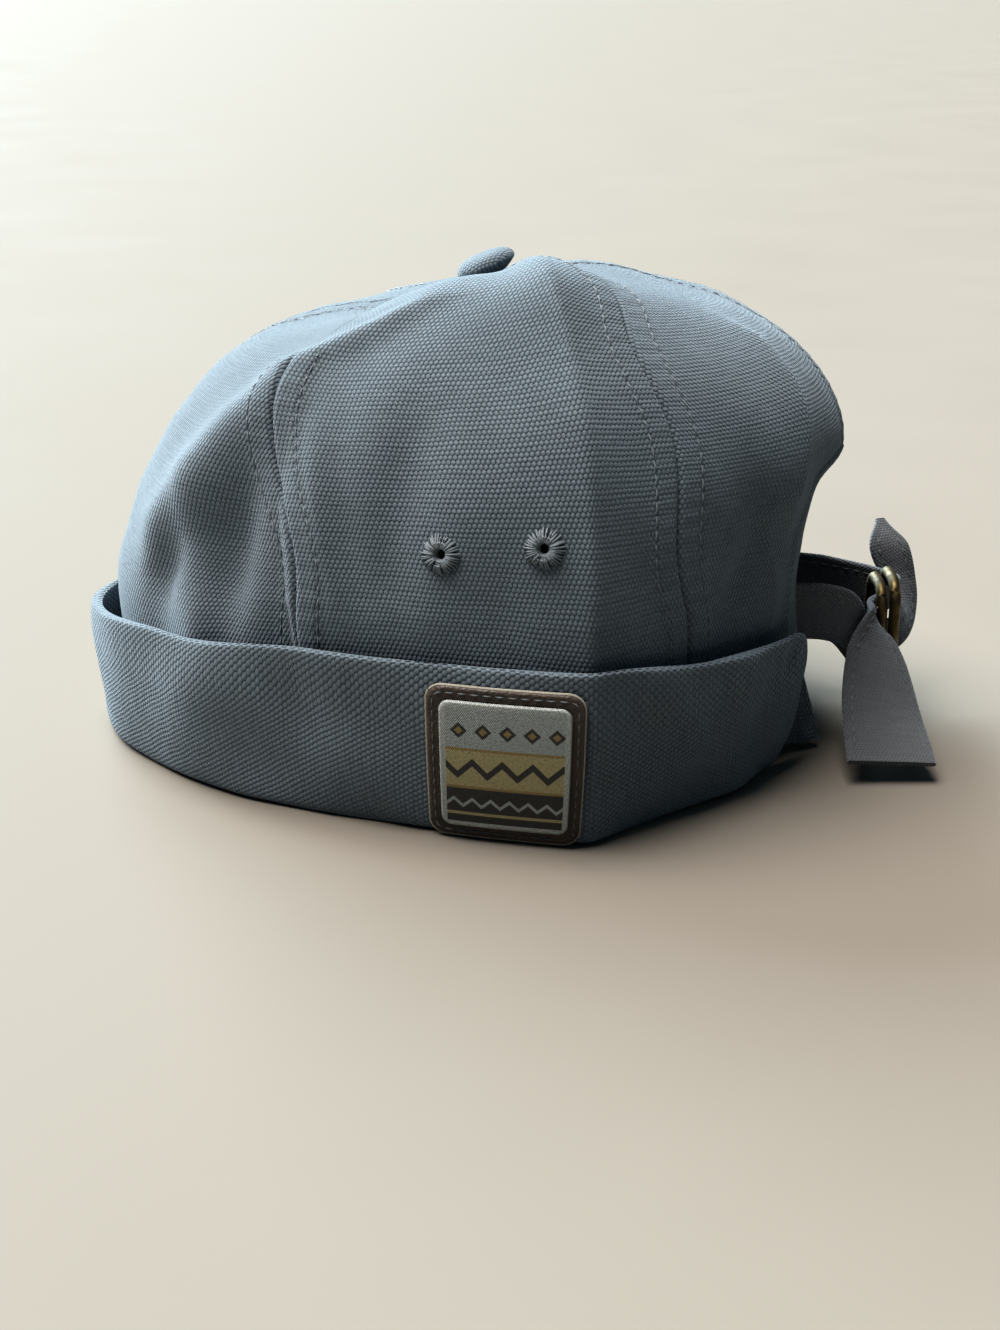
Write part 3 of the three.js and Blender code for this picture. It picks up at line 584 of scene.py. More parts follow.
def panel_rows(first, second, t):
    """Rows of a panel, cut at the arch, and which of them are cut"""
    az, far = whole_rows(first, second, t)
    is_cut = np.zeros(len(t), dtype=bool)
    if "back" not in (first, second):
        return az, far, is_cut
    outward = slice(None) if second == "back" else slice(None, None, -1)
    clear = arch_clear(crown_point(az, t[:, None]))
    start, stop = az[:, 0].copy(), az[:, -1].copy()
    for row in range(len(t)):
        angles, room = az[row, outward], clear[row, outward]
        inside = np.flatnonzero(room < 0)
        if len(inside):
            k = max(inside[0], 1)
            is_cut[row] = True
            edge = stop if second == "back" else start
            edge[row] = lerp(angles[k - 1], angles[k], room[k - 1] / (room[k - 1] - room[k]))
    return (*measured_rows(start, stop, t), is_cut)


def column_places(length):
    """Distances of a panel's columns from its first edge, closer together beside both edges"""
    zone = min(EDGE_ZONE, EDGE_SHARE * length)
    edge = zone * (np.arange(EDGE_COLUMNS) / EDGE_COLUMNS) ** 1.3
    middle = np.linspace(zone, length - zone, MIDDLE_COLUMNS + 1)
    places = np.concatenate((edge, middle, (length - edge)[::-1]))
    return np.clip(places, SEAM_GAP, length - SEAM_GAP)


def panel_levels(first, second):
    levels = TOP_HOLE_LEVEL * np.linspace(0, 1, PANEL_ROWS)
    if "back" in (first, second):
        heights = crown_point(np.full(PANEL_ROWS, 90.0), levels)[:, 2]
        rising = heights[: int(PANEL_ROWS * WALL_TOP_LEVEL)]
        apex = np.interp(ARCH_TOP_Z, rising, levels[: len(rising)])
        levels = np.sort(np.concatenate((levels, apex - np.array(ARCH_ROWS))))
    return levels


def in_frame(points):
    return ((np.asarray(points) + FRAME_SHIFT) * MM).tolist()


def put_in_scene(name, data):
    thing = bpy.data.objects.new(name, data)
    bpy.context.scene.collection.objects.link(thing)
    return thing


def aim(thing, way):
    """Turns the Z of a thing to a way"""
    thing.rotation_mode = "QUATERNION"
    thing.rotation_quaternion = Vector(way).to_track_quat("Z", "Y")


def finish_mesh(name, points, faces, material, uv=None, sharp=50):
    """Object of a mesh given in mm, with smooth shading"""
    mesh = bpy.data.meshes.new(name)
    mesh.from_pydata(in_frame(np.reshape(points, (-1, 3))), [], faces)
    if uv is not None:
        layer = mesh.uv_layers.new(name=UV_NAME)
        corner = np.empty(len(mesh.loops), dtype=np.int32)
        mesh.loops.foreach_get("vertex_index", corner)
        layer.data.foreach_set("uv", np.asarray(uv).reshape(-1, 2)[corner].astype(np.float32).ravel())
    shell = bmesh.new()
    shell.from_mesh(mesh)
    bmesh.ops.recalc_face_normals(shell, faces=shell.faces)
    shell.to_mesh(mesh)
    shell.free()
    mesh.shade_smooth()
    mesh.set_sharp_from_angle(angle=math.radians(sharp))
    mesh.materials.append(material)
    return put_in_scene(name, mesh)


def grid_quads(index):
    a, b = index[:-1, :-1], index[:-1, 1:]
    c, d = index[1:, 1:], index[1:, :-1]
    return np.stack((a, b, c, d), axis=-1).reshape(-1, 4).tolist()


def wall_faces(rows, columns):
    """Faces of a closed wall between an outer and an inner grid"""
    outer = np.arange(rows * columns).reshape(rows, columns)
    inner = outer + rows * columns
    faces = grid_quads(outer) + grid_quads(inner[:, ::-1])
    for edge in (np.s_[0, :], np.s_[-1, :], np.s_[:, 0], np.s_[:, -1]):
        faces += grid_quads(np.stack((outer[edge], inner[edge])))
    return faces


def ring_faces(rings, around, closed=False, first=0):
    """Faces of a skin over rings of points, closed at both ends or joined to itself"""
    index = first + np.arange(rings * around).reshape(rings, around)
    caps = [] if closed else [index[0].tolist(), index[-1].tolist()]
    index = np.concatenate((index, index[:, :1]), axis=1)
    if closed:
        index = np.concatenate((index, index[:1]), axis=0)
    return grid_quads(index) + caps


def panel_mesh(name, first, second, material):
    t = panel_levels(first, second)
    whole_az, whole_far = whole_rows(first, second, t)
    az, far, is_cut = panel_rows(first, second, t)
    length = far[:, -1]
    places = np.array([column_places(reach) for reach in length])
    angles = interp_rows(places, far, az)
    across = interp_rows(angles, whole_az, whole_far)
    points = crown_point(angles, t[:, None])
    normals = crown_normal(angles, t[:, None])
    middle = crown_point(whole_az[:, ROW_SAMPLES // 2], t)
    rise = np.repeat(distance_along(middle)[:, None], angles.shape[1], axis=1)
    relief = cloth_waves(points)
    fade = smoothstep(length, *SEAM_FADE)[:, None]
    for seam, distance in ((first, places), (second, length[:, None] - places)):
        sewn = seam_relief(distance, rise) * fade * seam_strength(seam, t)[:, None]
        relief += np.where((seam == "back") & is_cut[:, None], hem_relief(distance), sewn)
    outer = points + normals * relief[..., None]
    inner = points - normals * PANEL_WALL
    outer[0, :, 2] = HEM_Z
    inner[0, :, 2] = HEM_Z
    uv = np.stack((across - whole_far[:, -1:] / 2, rise), axis=-1)
    faces = wall_faces(*outer.shape[:2])
    return finish_mesh(f"{name}_cloth", np.stack((outer, inner)), faces, material, np.stack((uv, uv)))


def tubes_mesh(name, tubes, material, sides=TUBE_SIDES, closed=False):
    """One mesh of many tubes, each a row of points with their radii"""
    points, faces = [], []
    for route, radii in tubes:
        route = np.asarray(route, dtype=float)
        if closed:
            along = unit(np.roll(route, -1, axis=0) - np.roll(route, 1, axis=0))
        else:
            along = unit(np.gradient(route, axis=0))
        helper = np.where(np.abs(along[:, 2:3]) < 0.8, (0.0, 0.0, 1.0), (1.0, 0.0, 0.0))
        side = unit(np.cross(along, helper))
        up = np.cross(along, side)
        turn = np.arange(sides) * 2 * math.pi / sides
        ring = side[:, None] * np.cos(turn)[:, None] + up[:, None] * np.sin(turn)[:, None]
        faces += ring_faces(len(route), sides, closed, first=len(points))
        points.extend((route[:, None] + ring * np.asarray(radii)[:, None, None]).reshape(-1, 3))
    return finish_mesh(name, points, faces, material)


def stitch_tubes(route, normals, length=STITCH_LENGTH, pitch=STITCH_PITCH, radius=STITCH_RADIUS):
    """Row of stitches along a route on a surface"""
    far = distance_along(route)
    tubes = []
    u = np.linspace(0, 1, STITCH_RINGS)
    lift = radius * (STITCH_BOW * np.sin(math.pi * u) - STITCH_SINK)
    radii = radius * (STITCH_END + (1 - STITCH_END) * np.sin(math.pi * u))
    for start in np.arange(pitch / 2, far[-1] - length, pitch):
        s = start + u * length
        facing = unit(at_distance(s, far, normals))
        tubes.append((at_distance(s, far, route) + facing * lift[:, None], radii))
    return tubes


def seam_stitches():
    """Stitch rows beside every seam and along the arch"""
    tubes = []
    t = SEAM_STITCH_LEVELS
    for _, first, second in PANELS:
        az, far, is_cut = panel_rows(first, second, t)
        length = far[:, -1]
        for seam, place in ((first, np.full(len(t), STITCH_OFFSET)), (second, length - STITCH_OFFSET)):
            angle = interp_rows(place, far, az)
            points = crown_point(angle, t)
            normals = crown_normal(angle, t)
            raised = MIDDLE_STITCH_RAISE if seam in MIDDLE_SEAMS else STITCH_RAISE
            points = points + normals * (cloth_waves(points) + raised)[:, None]
            sewn = (length > 3 * STITCH_OFFSET) & (seam_strength(seam, t) > 0.5)
            hem = is_cut & (seam == "back")
            for part in (sewn & hem, sewn & ~hem):
                if np.any(part):
                    tubes += stitch_tubes(points[part], normals[part])
    return tubes


def cuff_height(az):
    angle = wrapped(az)
    i = np.clip(np.searchsorted(CUFF_RIM[:, 0], angle) - 1, 0, len(CUFF_RIM) - 2)
    low, high = CUFF_RIM[i], CUFF_RIM[i + 1]
    u = (angle - low[..., 0]) / (high[..., 0] - low[..., 0])
    return lerp(low[..., 1], high[..., 1], smoothstep(u, 0, 1))


def cuff_point(az, up, inwards):
    """Outside of the cuff, up from 0 at its fold to 1 at its rim"""
    az = np.asarray(az, dtype=float)
    end = np.where(np.sin(np.radians(az)) < 0, CUFF_PLAN["front"], CUFF_PLAN["back"])
    side = np.where(np.cos(np.radians(az)) > 0, CUFF_PLAN["left"], CUFF_PLAN["right"])
    reach = plan_reach(az, side, end, PLAN_EXPONENT_LOW)
    reach = reach + sum(fold_out(fold, az, np.full(az.shape, CUFF_CREASE_LEVEL)) for fold in CUFF_CREASES)
    flare = lerp(CUFF_FLARE, CUFF_FRONT_FLARE, np.maximum(-np.sin(np.radians(az)), 0) ** 2)
    r = reach + flare * up + CUFF_BELLY * np.sin(math.pi * up) - inwards
    return turned(az, r, cuff_height(az) * up)


def cuff_angle(az, up):
    """Angle of the cuff's cloth, which is drawn back below the rim beside both of its ends"""
    near_end = 1 - smoothstep(CUFF_END_AZ - az, 0, CUFF_SLANT_REACH)
    far_end = 1 - smoothstep(az + 180 + CUFF_END_AZ, 0, CUFF_SLANT_REACH)
    return az + CUFF_END_SLANT * (1 - up) * (far_end - near_end)


def cuff_dents(az, up):
    """Dents and swells of the cuff's outside"""
    total = np.zeros(np.broadcast(az, up).shape)
    for middle, level, half_az, half_up, out in CUFF_DENTS:
        total += out * np.exp(-((az - middle) / half_az) ** 2 - ((up - level) / half_up) ** 2)
    return total


def closed_curve(rows, sub_steps):
    """Smooth closed curve through the rows of a table"""
    looped = np.concatenate((rows[-2:], rows, rows[:3]))
    s = 2 + np.arange(len(rows) * sub_steps) / sub_steps
    return np.stack([along_rows(looped[:, k], s) for k in range(rows.shape[1])], axis=-1)


def cuff_mesh(material):
    section = closed_curve(CUFF_SECTION, CUFF_SUB_STEPS)
    far_end = -180 - CUFF_END_AZ
    ends = np.arange(0, CUFF_CORNER_AZ, CUFF_CORNER_AZ / CUFF_CORNER_STEPS)
    middle = np.linspace(CUFF_END_AZ - CUFF_CORNER_AZ, far_end + CUFF_CORNER_AZ, CUFF_STEPS)
    az = np.concatenate((CUFF_END_AZ - ends, middle, (far_end + ends)[::-1]))
    az = az[:, None] + np.zeros(len(section))
    height = cuff_height(az)
    up = section[:, 1] / height + section[:, 2]
    points = cuff_point(cuff_angle(az, up), up, section[:, 0])
    out = unit(points * (1, 1, 0))
    outside = smoothstep(section[:, 0], *CUFF_OUTSIDE)
    relief = CUFF_SWELL_SHARE * cloth_waves(points) + cuff_dents(az, up)
    points += out * (relief * outside)[..., None]
    from_end = np.minimum(CUFF_END_AZ - az, az - far_end) / CUFF_CORNER_AZ
    corner = 1 - np.sqrt(1 - np.maximum(1 - from_end, 0) ** 2)
    points[..., 2] -= CUFF_CORNER_DROP * corner * smoothstep(up, *CUFF_CORNER_RISE)
    points[..., 2] = np.maximum(points[..., 2], 0)
    around = distance_along(points[:, CUFF_MIDDLE_ROW])
    over = distance_along(points[0])
    uv = np.stack(np.broadcast_arrays(over[None, :], around[:, None]), axis=-1)
    return finish_mesh("cuff_cloth", points, ring_faces(*points.shape[:2]), material, uv)


def button_mesh(material):
    s = np.linspace(0, len(BUTTON_SECTION) - 1, BUTTON_RINGS)
    radius = np.maximum(along_rows(BUTTON_SECTION[:, 0], s), 0.01)
    height = along_rows(BUTTON_SECTION[:, 1], s)
    turn = np.arange(BUTTON_SIDES) * 2 * math.pi / BUTTON_SIDES
    gather = BUTTON_GATHER_DEPTH * np.sin(BUTTON_GATHERS * turn)
    gather = 1 + gather * smoothstep(height, *BUTTON_GATHER_RISE)[:, None]
    x = radius[:, None] * np.cos(turn) * gather
    y = radius[:, None] * np.sin(turn) * gather
    z = height[:, None] + np.zeros(BUTTON_SIDES)
    lean = math.radians(BUTTON_LEAN)
    points = np.stack((x * math.cos(lean) + z * math.sin(lean), y,
                       z * math.cos(lean) - x * math.sin(lean) + TOP_Z + BUTTON_LIFT), axis=-1)
    uv = np.stack((x * 1.1, y * 1.1 + z * 0.6), axis=-1)
    return finish_mesh("button_cloth", points, ring_faces(*points.shape[:2]), material, uv, sharp=60)


def seat_frame(az, z):
    """Place on the crown, the way it faces, and two directions along it"""
    t = level_at_height(az, z)
    place = crown_point(np.array(az), np.array(t))
    facing = crown_normal(np.array(az), np.array(t))
    across = unit(np.cross((0.0, 0.0, 1.0), facing))
    return place, facing, across, np.cross(facing, across)


def eyelet_mesh(name, material, rng):
    """Buttonhole threads laid out from a small hole"""
    _, az, z = EYELETS[name]
    place, facing, across, up = seat_frame(az, z)
    tubes = []
    for k in range(EYELET_THREADS):
        turn = 2 * math.pi * (k + rng.uniform(-EYELET_UNEVEN, EYELET_UNEVEN)) / EYELET_THREADS
        away, height, bend, radii = EYELET_THREAD.T.copy()
        away[-1] = rng.uniform(*EYELET_REACH)
        way = across * math.cos(turn) + up * math.sin(turn)
        drift = up * math.cos(turn) - across * math.sin(turn)
        drift = drift * rng.uniform(-EYELET_UNEVEN, EYELET_UNEVEN)
        height += rng.uniform(*EYELET_RISE)
        route = place + away[:, None] * way + height[:, None] * facing + bend[:, None] * drift
        tubes.append((route, radii))
    return tubes_mesh(f"{name}_threads", tubes, material)


def drill(piece, place, facing, radius, depth):
    """Cuts a round hole through a piece"""
    bpy.ops.mesh.primitive_cylinder_add(vertices=24, radius=radius * MM, depth=depth * MM)
    bit = bpy.context.object
    bit.location = in_frame(place)
    aim(bit, facing)
    cut = piece.modifiers.new("hole", "BOOLEAN")
    cut.operation = "DIFFERENCE"
    cut.object = bit
    bpy.context.view_layer.update()
    result = piece.evaluated_get(bpy.context.evaluated_depsgraph_get())
    old = piece.data
    piece.data = bpy.data.meshes.new_from_object(result)
    piece.modifiers.clear()
    bpy.data.meshes.remove(old)
    bit_mesh = bit.data
    bpy.data.objects.remove(bit)
    bpy.data.meshes.remove(bit_mesh)


def rounded_square(half_x, half_y, corner, count):
    """Even points round a rectangle with round corners"""
    turn = np.linspace(0, 2 * math.pi, 4 * 60, endpoint=False)
    spread = np.stack((np.cos(turn), np.sin(turn)), axis=-1)
    middle = np.sign(spread) * (half_x - corner, half_y - corner)
    outline = middle + corner * spread
    outline = np.concatenate((outline, outline[:1]))
    far = distance_along(outline)
    s = np.linspace(0, far[-1], count, endpoint=False)
    return at_distance(s, far, outline)


def cuff_angles():
    """Distance along the middle of the cuff from the patch's middle, by angle"""
    az = PATCH_AZ + PATCH_TURNS
    points = cuff_point(az, 0.5, 0)
    far = distance_along(points)
    return az, far - np.interp(PATCH_AZ, az, far)


def on_cuff(flat, out):
    """Points of a sheet laid on the cuff: across and up from the patch's middle"""
    az, far = cuff_angles()
    angle = np.interp(flat[..., 0], far, az)
    return cuff_point(angle, (PATCH_MID_Z + flat[..., 1]) / cuff_height(angle), -out)


def patch_outline(inset, corner, count):
    return rounded_square(PATCH_WIDTH / 2 - inset, PATCH_HEIGHT / 2 - inset, corner, count)


def patch_sheet(name, border, corner, lift, thickness, round_over, material):
    """Sheet with round corners laid on the cuff, its edge rounded over"""
    outline = patch_outline(border, corner, PATCH_POINTS)
    inset = (1 - PATCH_SHARES) * PATCH_WIDTH / 2
    drop = round_over * np.maximum(1 - inset / round_over, 0) ** 2
    shares = np.concatenate((PATCH_SHARES, PATCH_SHARES[::-1]))
    heights = np.concatenate((np.full(len(drop), lift), (lift + thickness - drop)[::-1]))
    uv = [outline * share for share in shares]
    rings = np.array([on_cuff(flat, out) for flat, out in zip(uv, heights)])
    return finish_mesh(name, rings, ring_faces(*rings.shape[:2]), material, np.array(uv), sharp=70)


def patch_route(inset, out, count=320):
    outline = patch_outline(inset, max(PATCH_CORNER - inset, 1), count)
    outline = np.concatenate((outline, outline[:1]))
    return on_cuff(outline, out), on_cuff(outline, out + 1.0)


def seat_row(az, z, width, turn):
    place, facing, _, _ = seat_frame(az, z)
    point = place - facing * STRAP_SEAT_DEPTH
    return point[0], point[1], z, width, turn


def route_point(places, s):
    """Smooth curve through places at uneven distances, s counted in rows"""
    last = len(places) - 1
    ends = np.concatenate((2 * places[:1] - places[1:2], places, 2 * places[-1:] - places[-2:-1]))
    i = np.clip(np.floor(s).astype(int), 0, last - 1)
    p0, p1, p2, p3 = (ends[i + k] for k in range(4))
    pairs = ((p0, p1), (p1, p2), (p2, p3))
    d0, d1, d2 = (np.linalg.norm(b - a, axis=-1, keepdims=True) ** 0.5 for a, b in pairs)
    slope1 = ((p1 - p0) / d0 - (p2 - p0) / (d0 + d1) + (p2 - p1) / d1) * d1
    slope2 = ((p2 - p1) / d1 - (p3 - p1) / (d1 + d2) + (p3 - p2) / d2) * d1
    return hermite((s - i)[:, None], p1, p2, slope1, slope2)


def strap_frame(rows):
    """Middle line of a strap, the ways across and out of it, its half-width and the distance along it"""
    rows = np.array(rows)
    s = np.linspace(0, len(rows) - 1, (len(rows) - 1) * STRAP_STEPS + 1)
    middle = route_point(rows[:, :3], s)
    along = unit(np.gradient(middle, axis=0))
    turn = np.radians(along_rows(rows[:, 4], s))
    across = np.stack((np.cos(turn), np.zeros(len(s)), np.sin(turn)), axis=-1)
    across = unit(across - along * np.sum(across * along, axis=-1, keepdims=True))
    out = np.cross(along, across)
    return middle, across, out, along_rows(rows[:, 3], s) / 2, distance_along(middle)


def strap_mesh(name, rows, material):
    middle, across, out, half, far = strap_frame(rows)
    place = np.sin(np.linspace(-1, 1, STRAP_COLUMNS + 1) * math.pi / 2)
    inset = (1 - np.abs(place)) * half[:, None]
    rounding = 1 - np.minimum(inset / STRAP_EDGE_ROUND, 1)
    thick = STRAP_THICKNESS / 2 * np.clip(1 - rounding ** 2, 0, 1) ** 0.5
    thick = np.maximum(thick, STRAP_EDGE_LEAST)
    dent = STRAP_STITCH_DENT * np.exp(-((inset - STRAP_STITCH_INSET) / STITCH_DENT_WIDTH) ** 2)
    sheet = middle[:, None] + across[:, None] * (place * half[:, None])[..., None]
    face = out[:, None] * (thick - dent * (thick > 0.5))[..., None]
    rings = np.concatenate((sheet + face, (sheet - face)[:, ::-1]), axis=1)
    flat = np.stack(np.broadcast_arrays(place * half[:, None], far[:, None]), axis=-1)
    uv = np.concatenate((flat, flat[:, ::-1]), axis=1)
    return finish_mesh(name, rings, ring_faces(*rings.shape[:2]), material, uv, sharp=65)


def strap_stitches(rows):
    """Stitch rows along both edges of a strap, on both faces"""
    middle, across, out, half, far = strap_frame(rows)
    kept = (far < far[-1] - STRAP_STITCH_END) & (half > STRAP_STITCH_INSET + STRAP_STITCH_ROOM)
    tubes = []
    for face in (1, -1):
        skin = out * face
        for side in (1, -1):
            edge = middle + across * (side * (half - STRAP_STITCH_INSET))[:, None]
            edge = edge + skin * (STRAP_THICKNESS / 2 - STRAP_STITCH_SINK)
            tubes += stitch_tubes(edge[kept], skin[kept])
    return tubes


def ring_mesh(name, material):
    x, lift = RINGS[name]
    half_z = (RING_HIGH_Z - RING_LOW_Z) / 2
    outline = rounded_square(RING_HALF_LENGTH, half_z, RING_CORNER, RING_STEPS)
    height = outline[:, 1] + RING_LOW_Z + half_z + lift
    route = np.stack((np.full(RING_STEPS, float(x)), outline[:, 0], height), axis=-1)
    wire = [(route, np.full(RING_STEPS, RING_WIRE / 2))]
    return tubes_mesh(f"{name}_wire", wire, material, RING_SIDES, closed=True)


class Shader:
    """Material with a short way to add nodes"""

    def __init__(self, name):
        self.material = bpy.data.materials.new(name)
        self.material.use_nodes = True
        self.nodes = self.material.node_tree.nodes
        self.links = self.material.node_tree.links
        self.surface = self.nodes["Principled BSDF"]

    def put(self, socket, value):
        if isinstance(value, bpy.types.NodeSocket):
            self.links.new(value, socket)
        else:
            socket.default_value = value

    def set(self, **values):
        for name, value in values.items():
            self.put(self.surface.inputs[name.replace("_", " ").title().replace("Ior", "IOR")], value)

    def math(self, operation, *values):
        node = self.nodes.new("ShaderNodeMath")
        node.operation = operation
        for socket, value in zip(node.inputs, values):
            self.put(socket, value)
        return node.outputs[0]

    def flat(self):
        """Place on the flat cloth, in mm"""
        uv = self.nodes.new("ShaderNodeUVMap")
        uv.uv_map = UV_NAME
        parts = self.nodes.new("ShaderNodeSeparateXYZ")
        self.links.new(uv.outputs[0], parts.inputs[0])
        return parts.outputs[0], parts.outputs[1]

    def join(self, x, y):
        node = self.nodes.new("ShaderNodeCombineXYZ")
        self.put(node.inputs[0], x)
        self.put(node.inputs[1], y)
        return node.outputs[0]

    def place(self):
        return self.nodes.new("ShaderNodeTexCoord").outputs["Object"]

    def noise(self, vector, scale, detail=2.0):
        node = self.nodes.new("ShaderNodeTexNoise")
        self.links.new(vector, node.inputs["Vector"])
        node.inputs["Scale"].default_value = scale
        node.inputs["Detail"].default_value = detail
        return node.outputs[0]

    def mix(self, share, a, b):
        node = self.nodes.new("ShaderNodeMix")
        node.data_type = "RGBA"
        self.put(node.inputs[0], share)
        for socket, colour in ((node.inputs[6], a), (node.inputs[7], b)):
            self.put(socket, (*colour, 1.0) if isinstance(colour, tuple) else colour)
        return node.outputs[2]

    def between(self, value, low, high, to_low, to_high):
        node = self.nodes.new("ShaderNodeMapRange")
        for socket, number in zip(node.inputs, (value, low, high, to_low, to_high)):
            self.put(socket, number)
        return node.outputs[0]

    def past_edge(self, u, v, border):
        """Distance past the patch's edge less a border, negative inside it"""
        sizes = ((u, PATCH_WIDTH), (v, PATCH_HEIGHT))
        past = [self.math("SUBTRACT", self.math("ABSOLUTE", x), size / 2 - border) for x, size in sizes]
        return self.math("MAXIMUM", *past)

    def bump(self, height, depth_mm, strength=1.0):
        node = self.nodes.new("ShaderNodeBump")
        node.inputs["Strength"].default_value = strength
        node.inputs["Distance"].default_value = depth_mm * MM
        self.links.new(height, node.inputs["Height"])
        self.links.new(node.outputs[0], self.surface.inputs["Normal"])


def weave(shader, u, v, along_pitch, row_pitch):
    """Height of a plain weave: rows of oval knots, every other row set over by half"""
    from_knots = []
    for shift in (0.0, 0.5):
        along = shader.math("WRAP", shader.math("MULTIPLY_ADD", u, 1 / along_pitch, shift), 0.5, -0.5)
        across = shader.math("WRAP", shader.math("MULTIPLY_ADD", v, 0.5 / row_pitch, shift), 0.5, -0.5)
        long_way = shader.math("POWER", shader.math("MULTIPLY", along, 1 / KNOT_LENGTH), 2.0)
        short_way = shader.math("POWER", shader.math("MULTIPLY", across, 1 / KNOT_HEIGHT), 2.0)
        from_knots.append(shader.math("ADD", long_way, short_way))
    nearest = shader.math("MINIMUM", *from_knots)
    inside = shader.math("MAXIMUM", shader.math("SUBTRACT", 1.0, nearest), 0.0)
    return shader.math("POWER", inside, KNOT_ROUND)


def canvas(name, shaded_gap, thread, along_pitch, row_pitch, depth_mm):
    """Coarse canvas: uneven threads with painted shade between them, faded patches and a soft nap"""
    shader = Shader(name)
    u, v = shader.flat()
    wander = shader.noise(shader.join(u, v), 0.09, 2)
    u2 = shader.math("MULTIPLY_ADD", wander, 0.9, u)
    v2 = shader.math("MULTIPLY_ADD", wander, 0.7, v)
    height = weave(shader, u2, v2, along_pitch, row_pitch)
    drawn_out = shader.join(shader.math("MULTIPLY", u2, 0.14), shader.math("MULTIPLY", v2, 0.9))
    slub = shader.noise(drawn_out, 1.0, 2)
    fuzz = shader.noise(shader.join(u, v), 4.0, 3)
    fade = shader.noise(shader.place(), 28, 3)
    # Colour follows the weave's height: painted shade where the knots dip, plus the yarn's real unevenness
    # from the slubs
    share = shader.math("MULTIPLY_ADD", slub, 0.5, shader.math("MULTIPLY_ADD", height, 0.8, -0.2))
    colour = shader.mix(share, shaded_gap, thread)
    shade = shader.between(fade, 0.3, 0.7, 0.0, 0.35)
    colour = shader.mix(shade, colour, tuple(0.72 * (g + t) / 2 for g, t in zip(shaded_gap, thread)))
    shader.set(base_color=colour)
    shader.set(roughness=shader.between(fuzz, 0.3, 0.7, 0.82, 0.98))
    shader.set(sheen_weight=0.35, sheen_roughness=0.4, sheen_tint=(0.72, 0.86, 1.0, 1.0))
    shader.set(specular_ior_level=0.25)
    relief = shader.math("MULTIPLY_ADD", fuzz, 0.25, shader.math("MULTIPLY_ADD", slub, 0.35, height))
    shader.bump(relief, depth_mm)
    return shader.material


def thread_material(name, dark, pale):
    shader = Shader(name)
    twist = shader.noise(shader.place(), 2600, 2)
    shader.set(base_color=shader.mix(twist, dark, pale))
    shader.set(roughness=shader.between(twist, 0.3, 0.7, 0.55, 0.8))
    shader.set(sheen_weight=0.2)
    shader.bump(twist, 0.12)
    return shader.material


def leather_material():
    shader = Shader("patch_leather")
    u, v = shader.flat()
    place = shader.place()
    grain = shader.nodes.new("ShaderNodeTexVoronoi")
    grain.inputs["Scale"].default_value = 1300
    shader.links.new(place, grain.inputs["Vector"])
    wear = shader.noise(place, 160, 4)
    rubbed = shader.between(shader.past_edge(u, v, 0), -0.7, 0.0, 0.0, 0.5)
    colour = shader.mix(shader.between(wear, 0.35, 0.7, 0, 1), *LEATHER)
    shader.set(base_color=shader.mix(rubbed, colour, LEATHER_RUBBED))
    shader.set(roughness=shader.between(wear, 0.3, 0.7, 0.5, 0.75))
    shader.bump(shader.math("MULTIPLY_ADD", wear, 0.6, grain.outputs["Distance"]), 0.2)
    return shader.material


def label_material():
    """Woven label: plain bands in pale grey, straw and near black with geometric rows"""
    shader = Shader("patch_weave")
    u, v = shader.flat()

    def wave(pitch, shift=0.0):
        return shader.math("PINGPONG", shader.math("ADD", u, 60 + shift), pitch / 2)

    def near(middle, width):
        return shader.math("LESS_THAN", shader.math("ABSOLUTE", shader.math("SUBTRACT", v, middle)), width)

    colour = shader.mix(shader.math("LESS_THAN", v, LABEL_BANDS[0]), LABEL_PALE, LABEL_STRAW)
    colour = shader.mix(shader.math("LESS_THAN", v, LABEL_BANDS[1]), colour, LABEL_DARK)
    peaks = shader.math("MULTIPLY_ADD", wave(7.0), 1.0, -2.2)
    colour = shader.mix(near(peaks, 1.0), colour, LABEL_DARK)
    diamond = shader.math("ADD", wave(5.6, 1.0), shader.math("ABSOLUTE", shader.math("SUBTRACT", v, 9.4)))
    colour = shader.mix(shader.math("LESS_THAN", diamond, 2.0), colour, LABEL_DARK)
    colour = shader.mix(shader.math("LESS_THAN", diamond, 1.0), colour, LABEL_OCHRE)
    chevron = shader.math("MULTIPLY_ADD", wave(4.4, 0.4), -0.9, -8.6)
    colour = shader.mix(near(chevron, 0.5), colour, LABEL_PALE)
    colour = shader.mix(near(-12.6, 0.4), colour, LABEL_STRAW)
    for middle in LABEL_BANDS:
        colour = shader.mix(near(middle, 0.35), colour, LABEL_OCHRE)
    rim = shader.past_edge(u, v, PATCH_BORDER)
    colour = shader.mix(shader.math("GREATER_THAN", rim, -LABEL_RIM_WIDTH), colour, LABEL_RIM)
    threads = weave(shader, u, v, 0.5, 0.36)
    fleck = shader.noise(shader.join(u, v), 1.8, 3)
    colour = shader.mix(shader.between(fleck, 0.42, 0.75, 0.0, 0.55), colour, (0.08, 0.08, 0.07))
    # Near black where the label's threads dip: painted shade between them
    shader.set(base_color=shader.mix(shader.between(threads, 0, 1, 0.35, 0.0), colour, (0.03, 0.03, 0.03)))
    shader.set(roughness=shader.between(fleck, 0.3, 0.7, 0.6, 0.85))
    shader.bump(threads, 0.18)
    return shader.material


def brass_material():
    shader = Shader("antique_brass")
    tarnish = shader.noise(shader.place(), 320, 4)
    shader.set(base_color=shader.mix(shader.between(tarnish, 0.35, 0.65, 0, 1), *BRASS), metallic=1.0)
    shader.set(roughness=shader.between(tarnish, 0.3, 0.7, 0.45, 0.65))
    shader.bump(tarnish, 0.12, 0.5)
    return shader.material


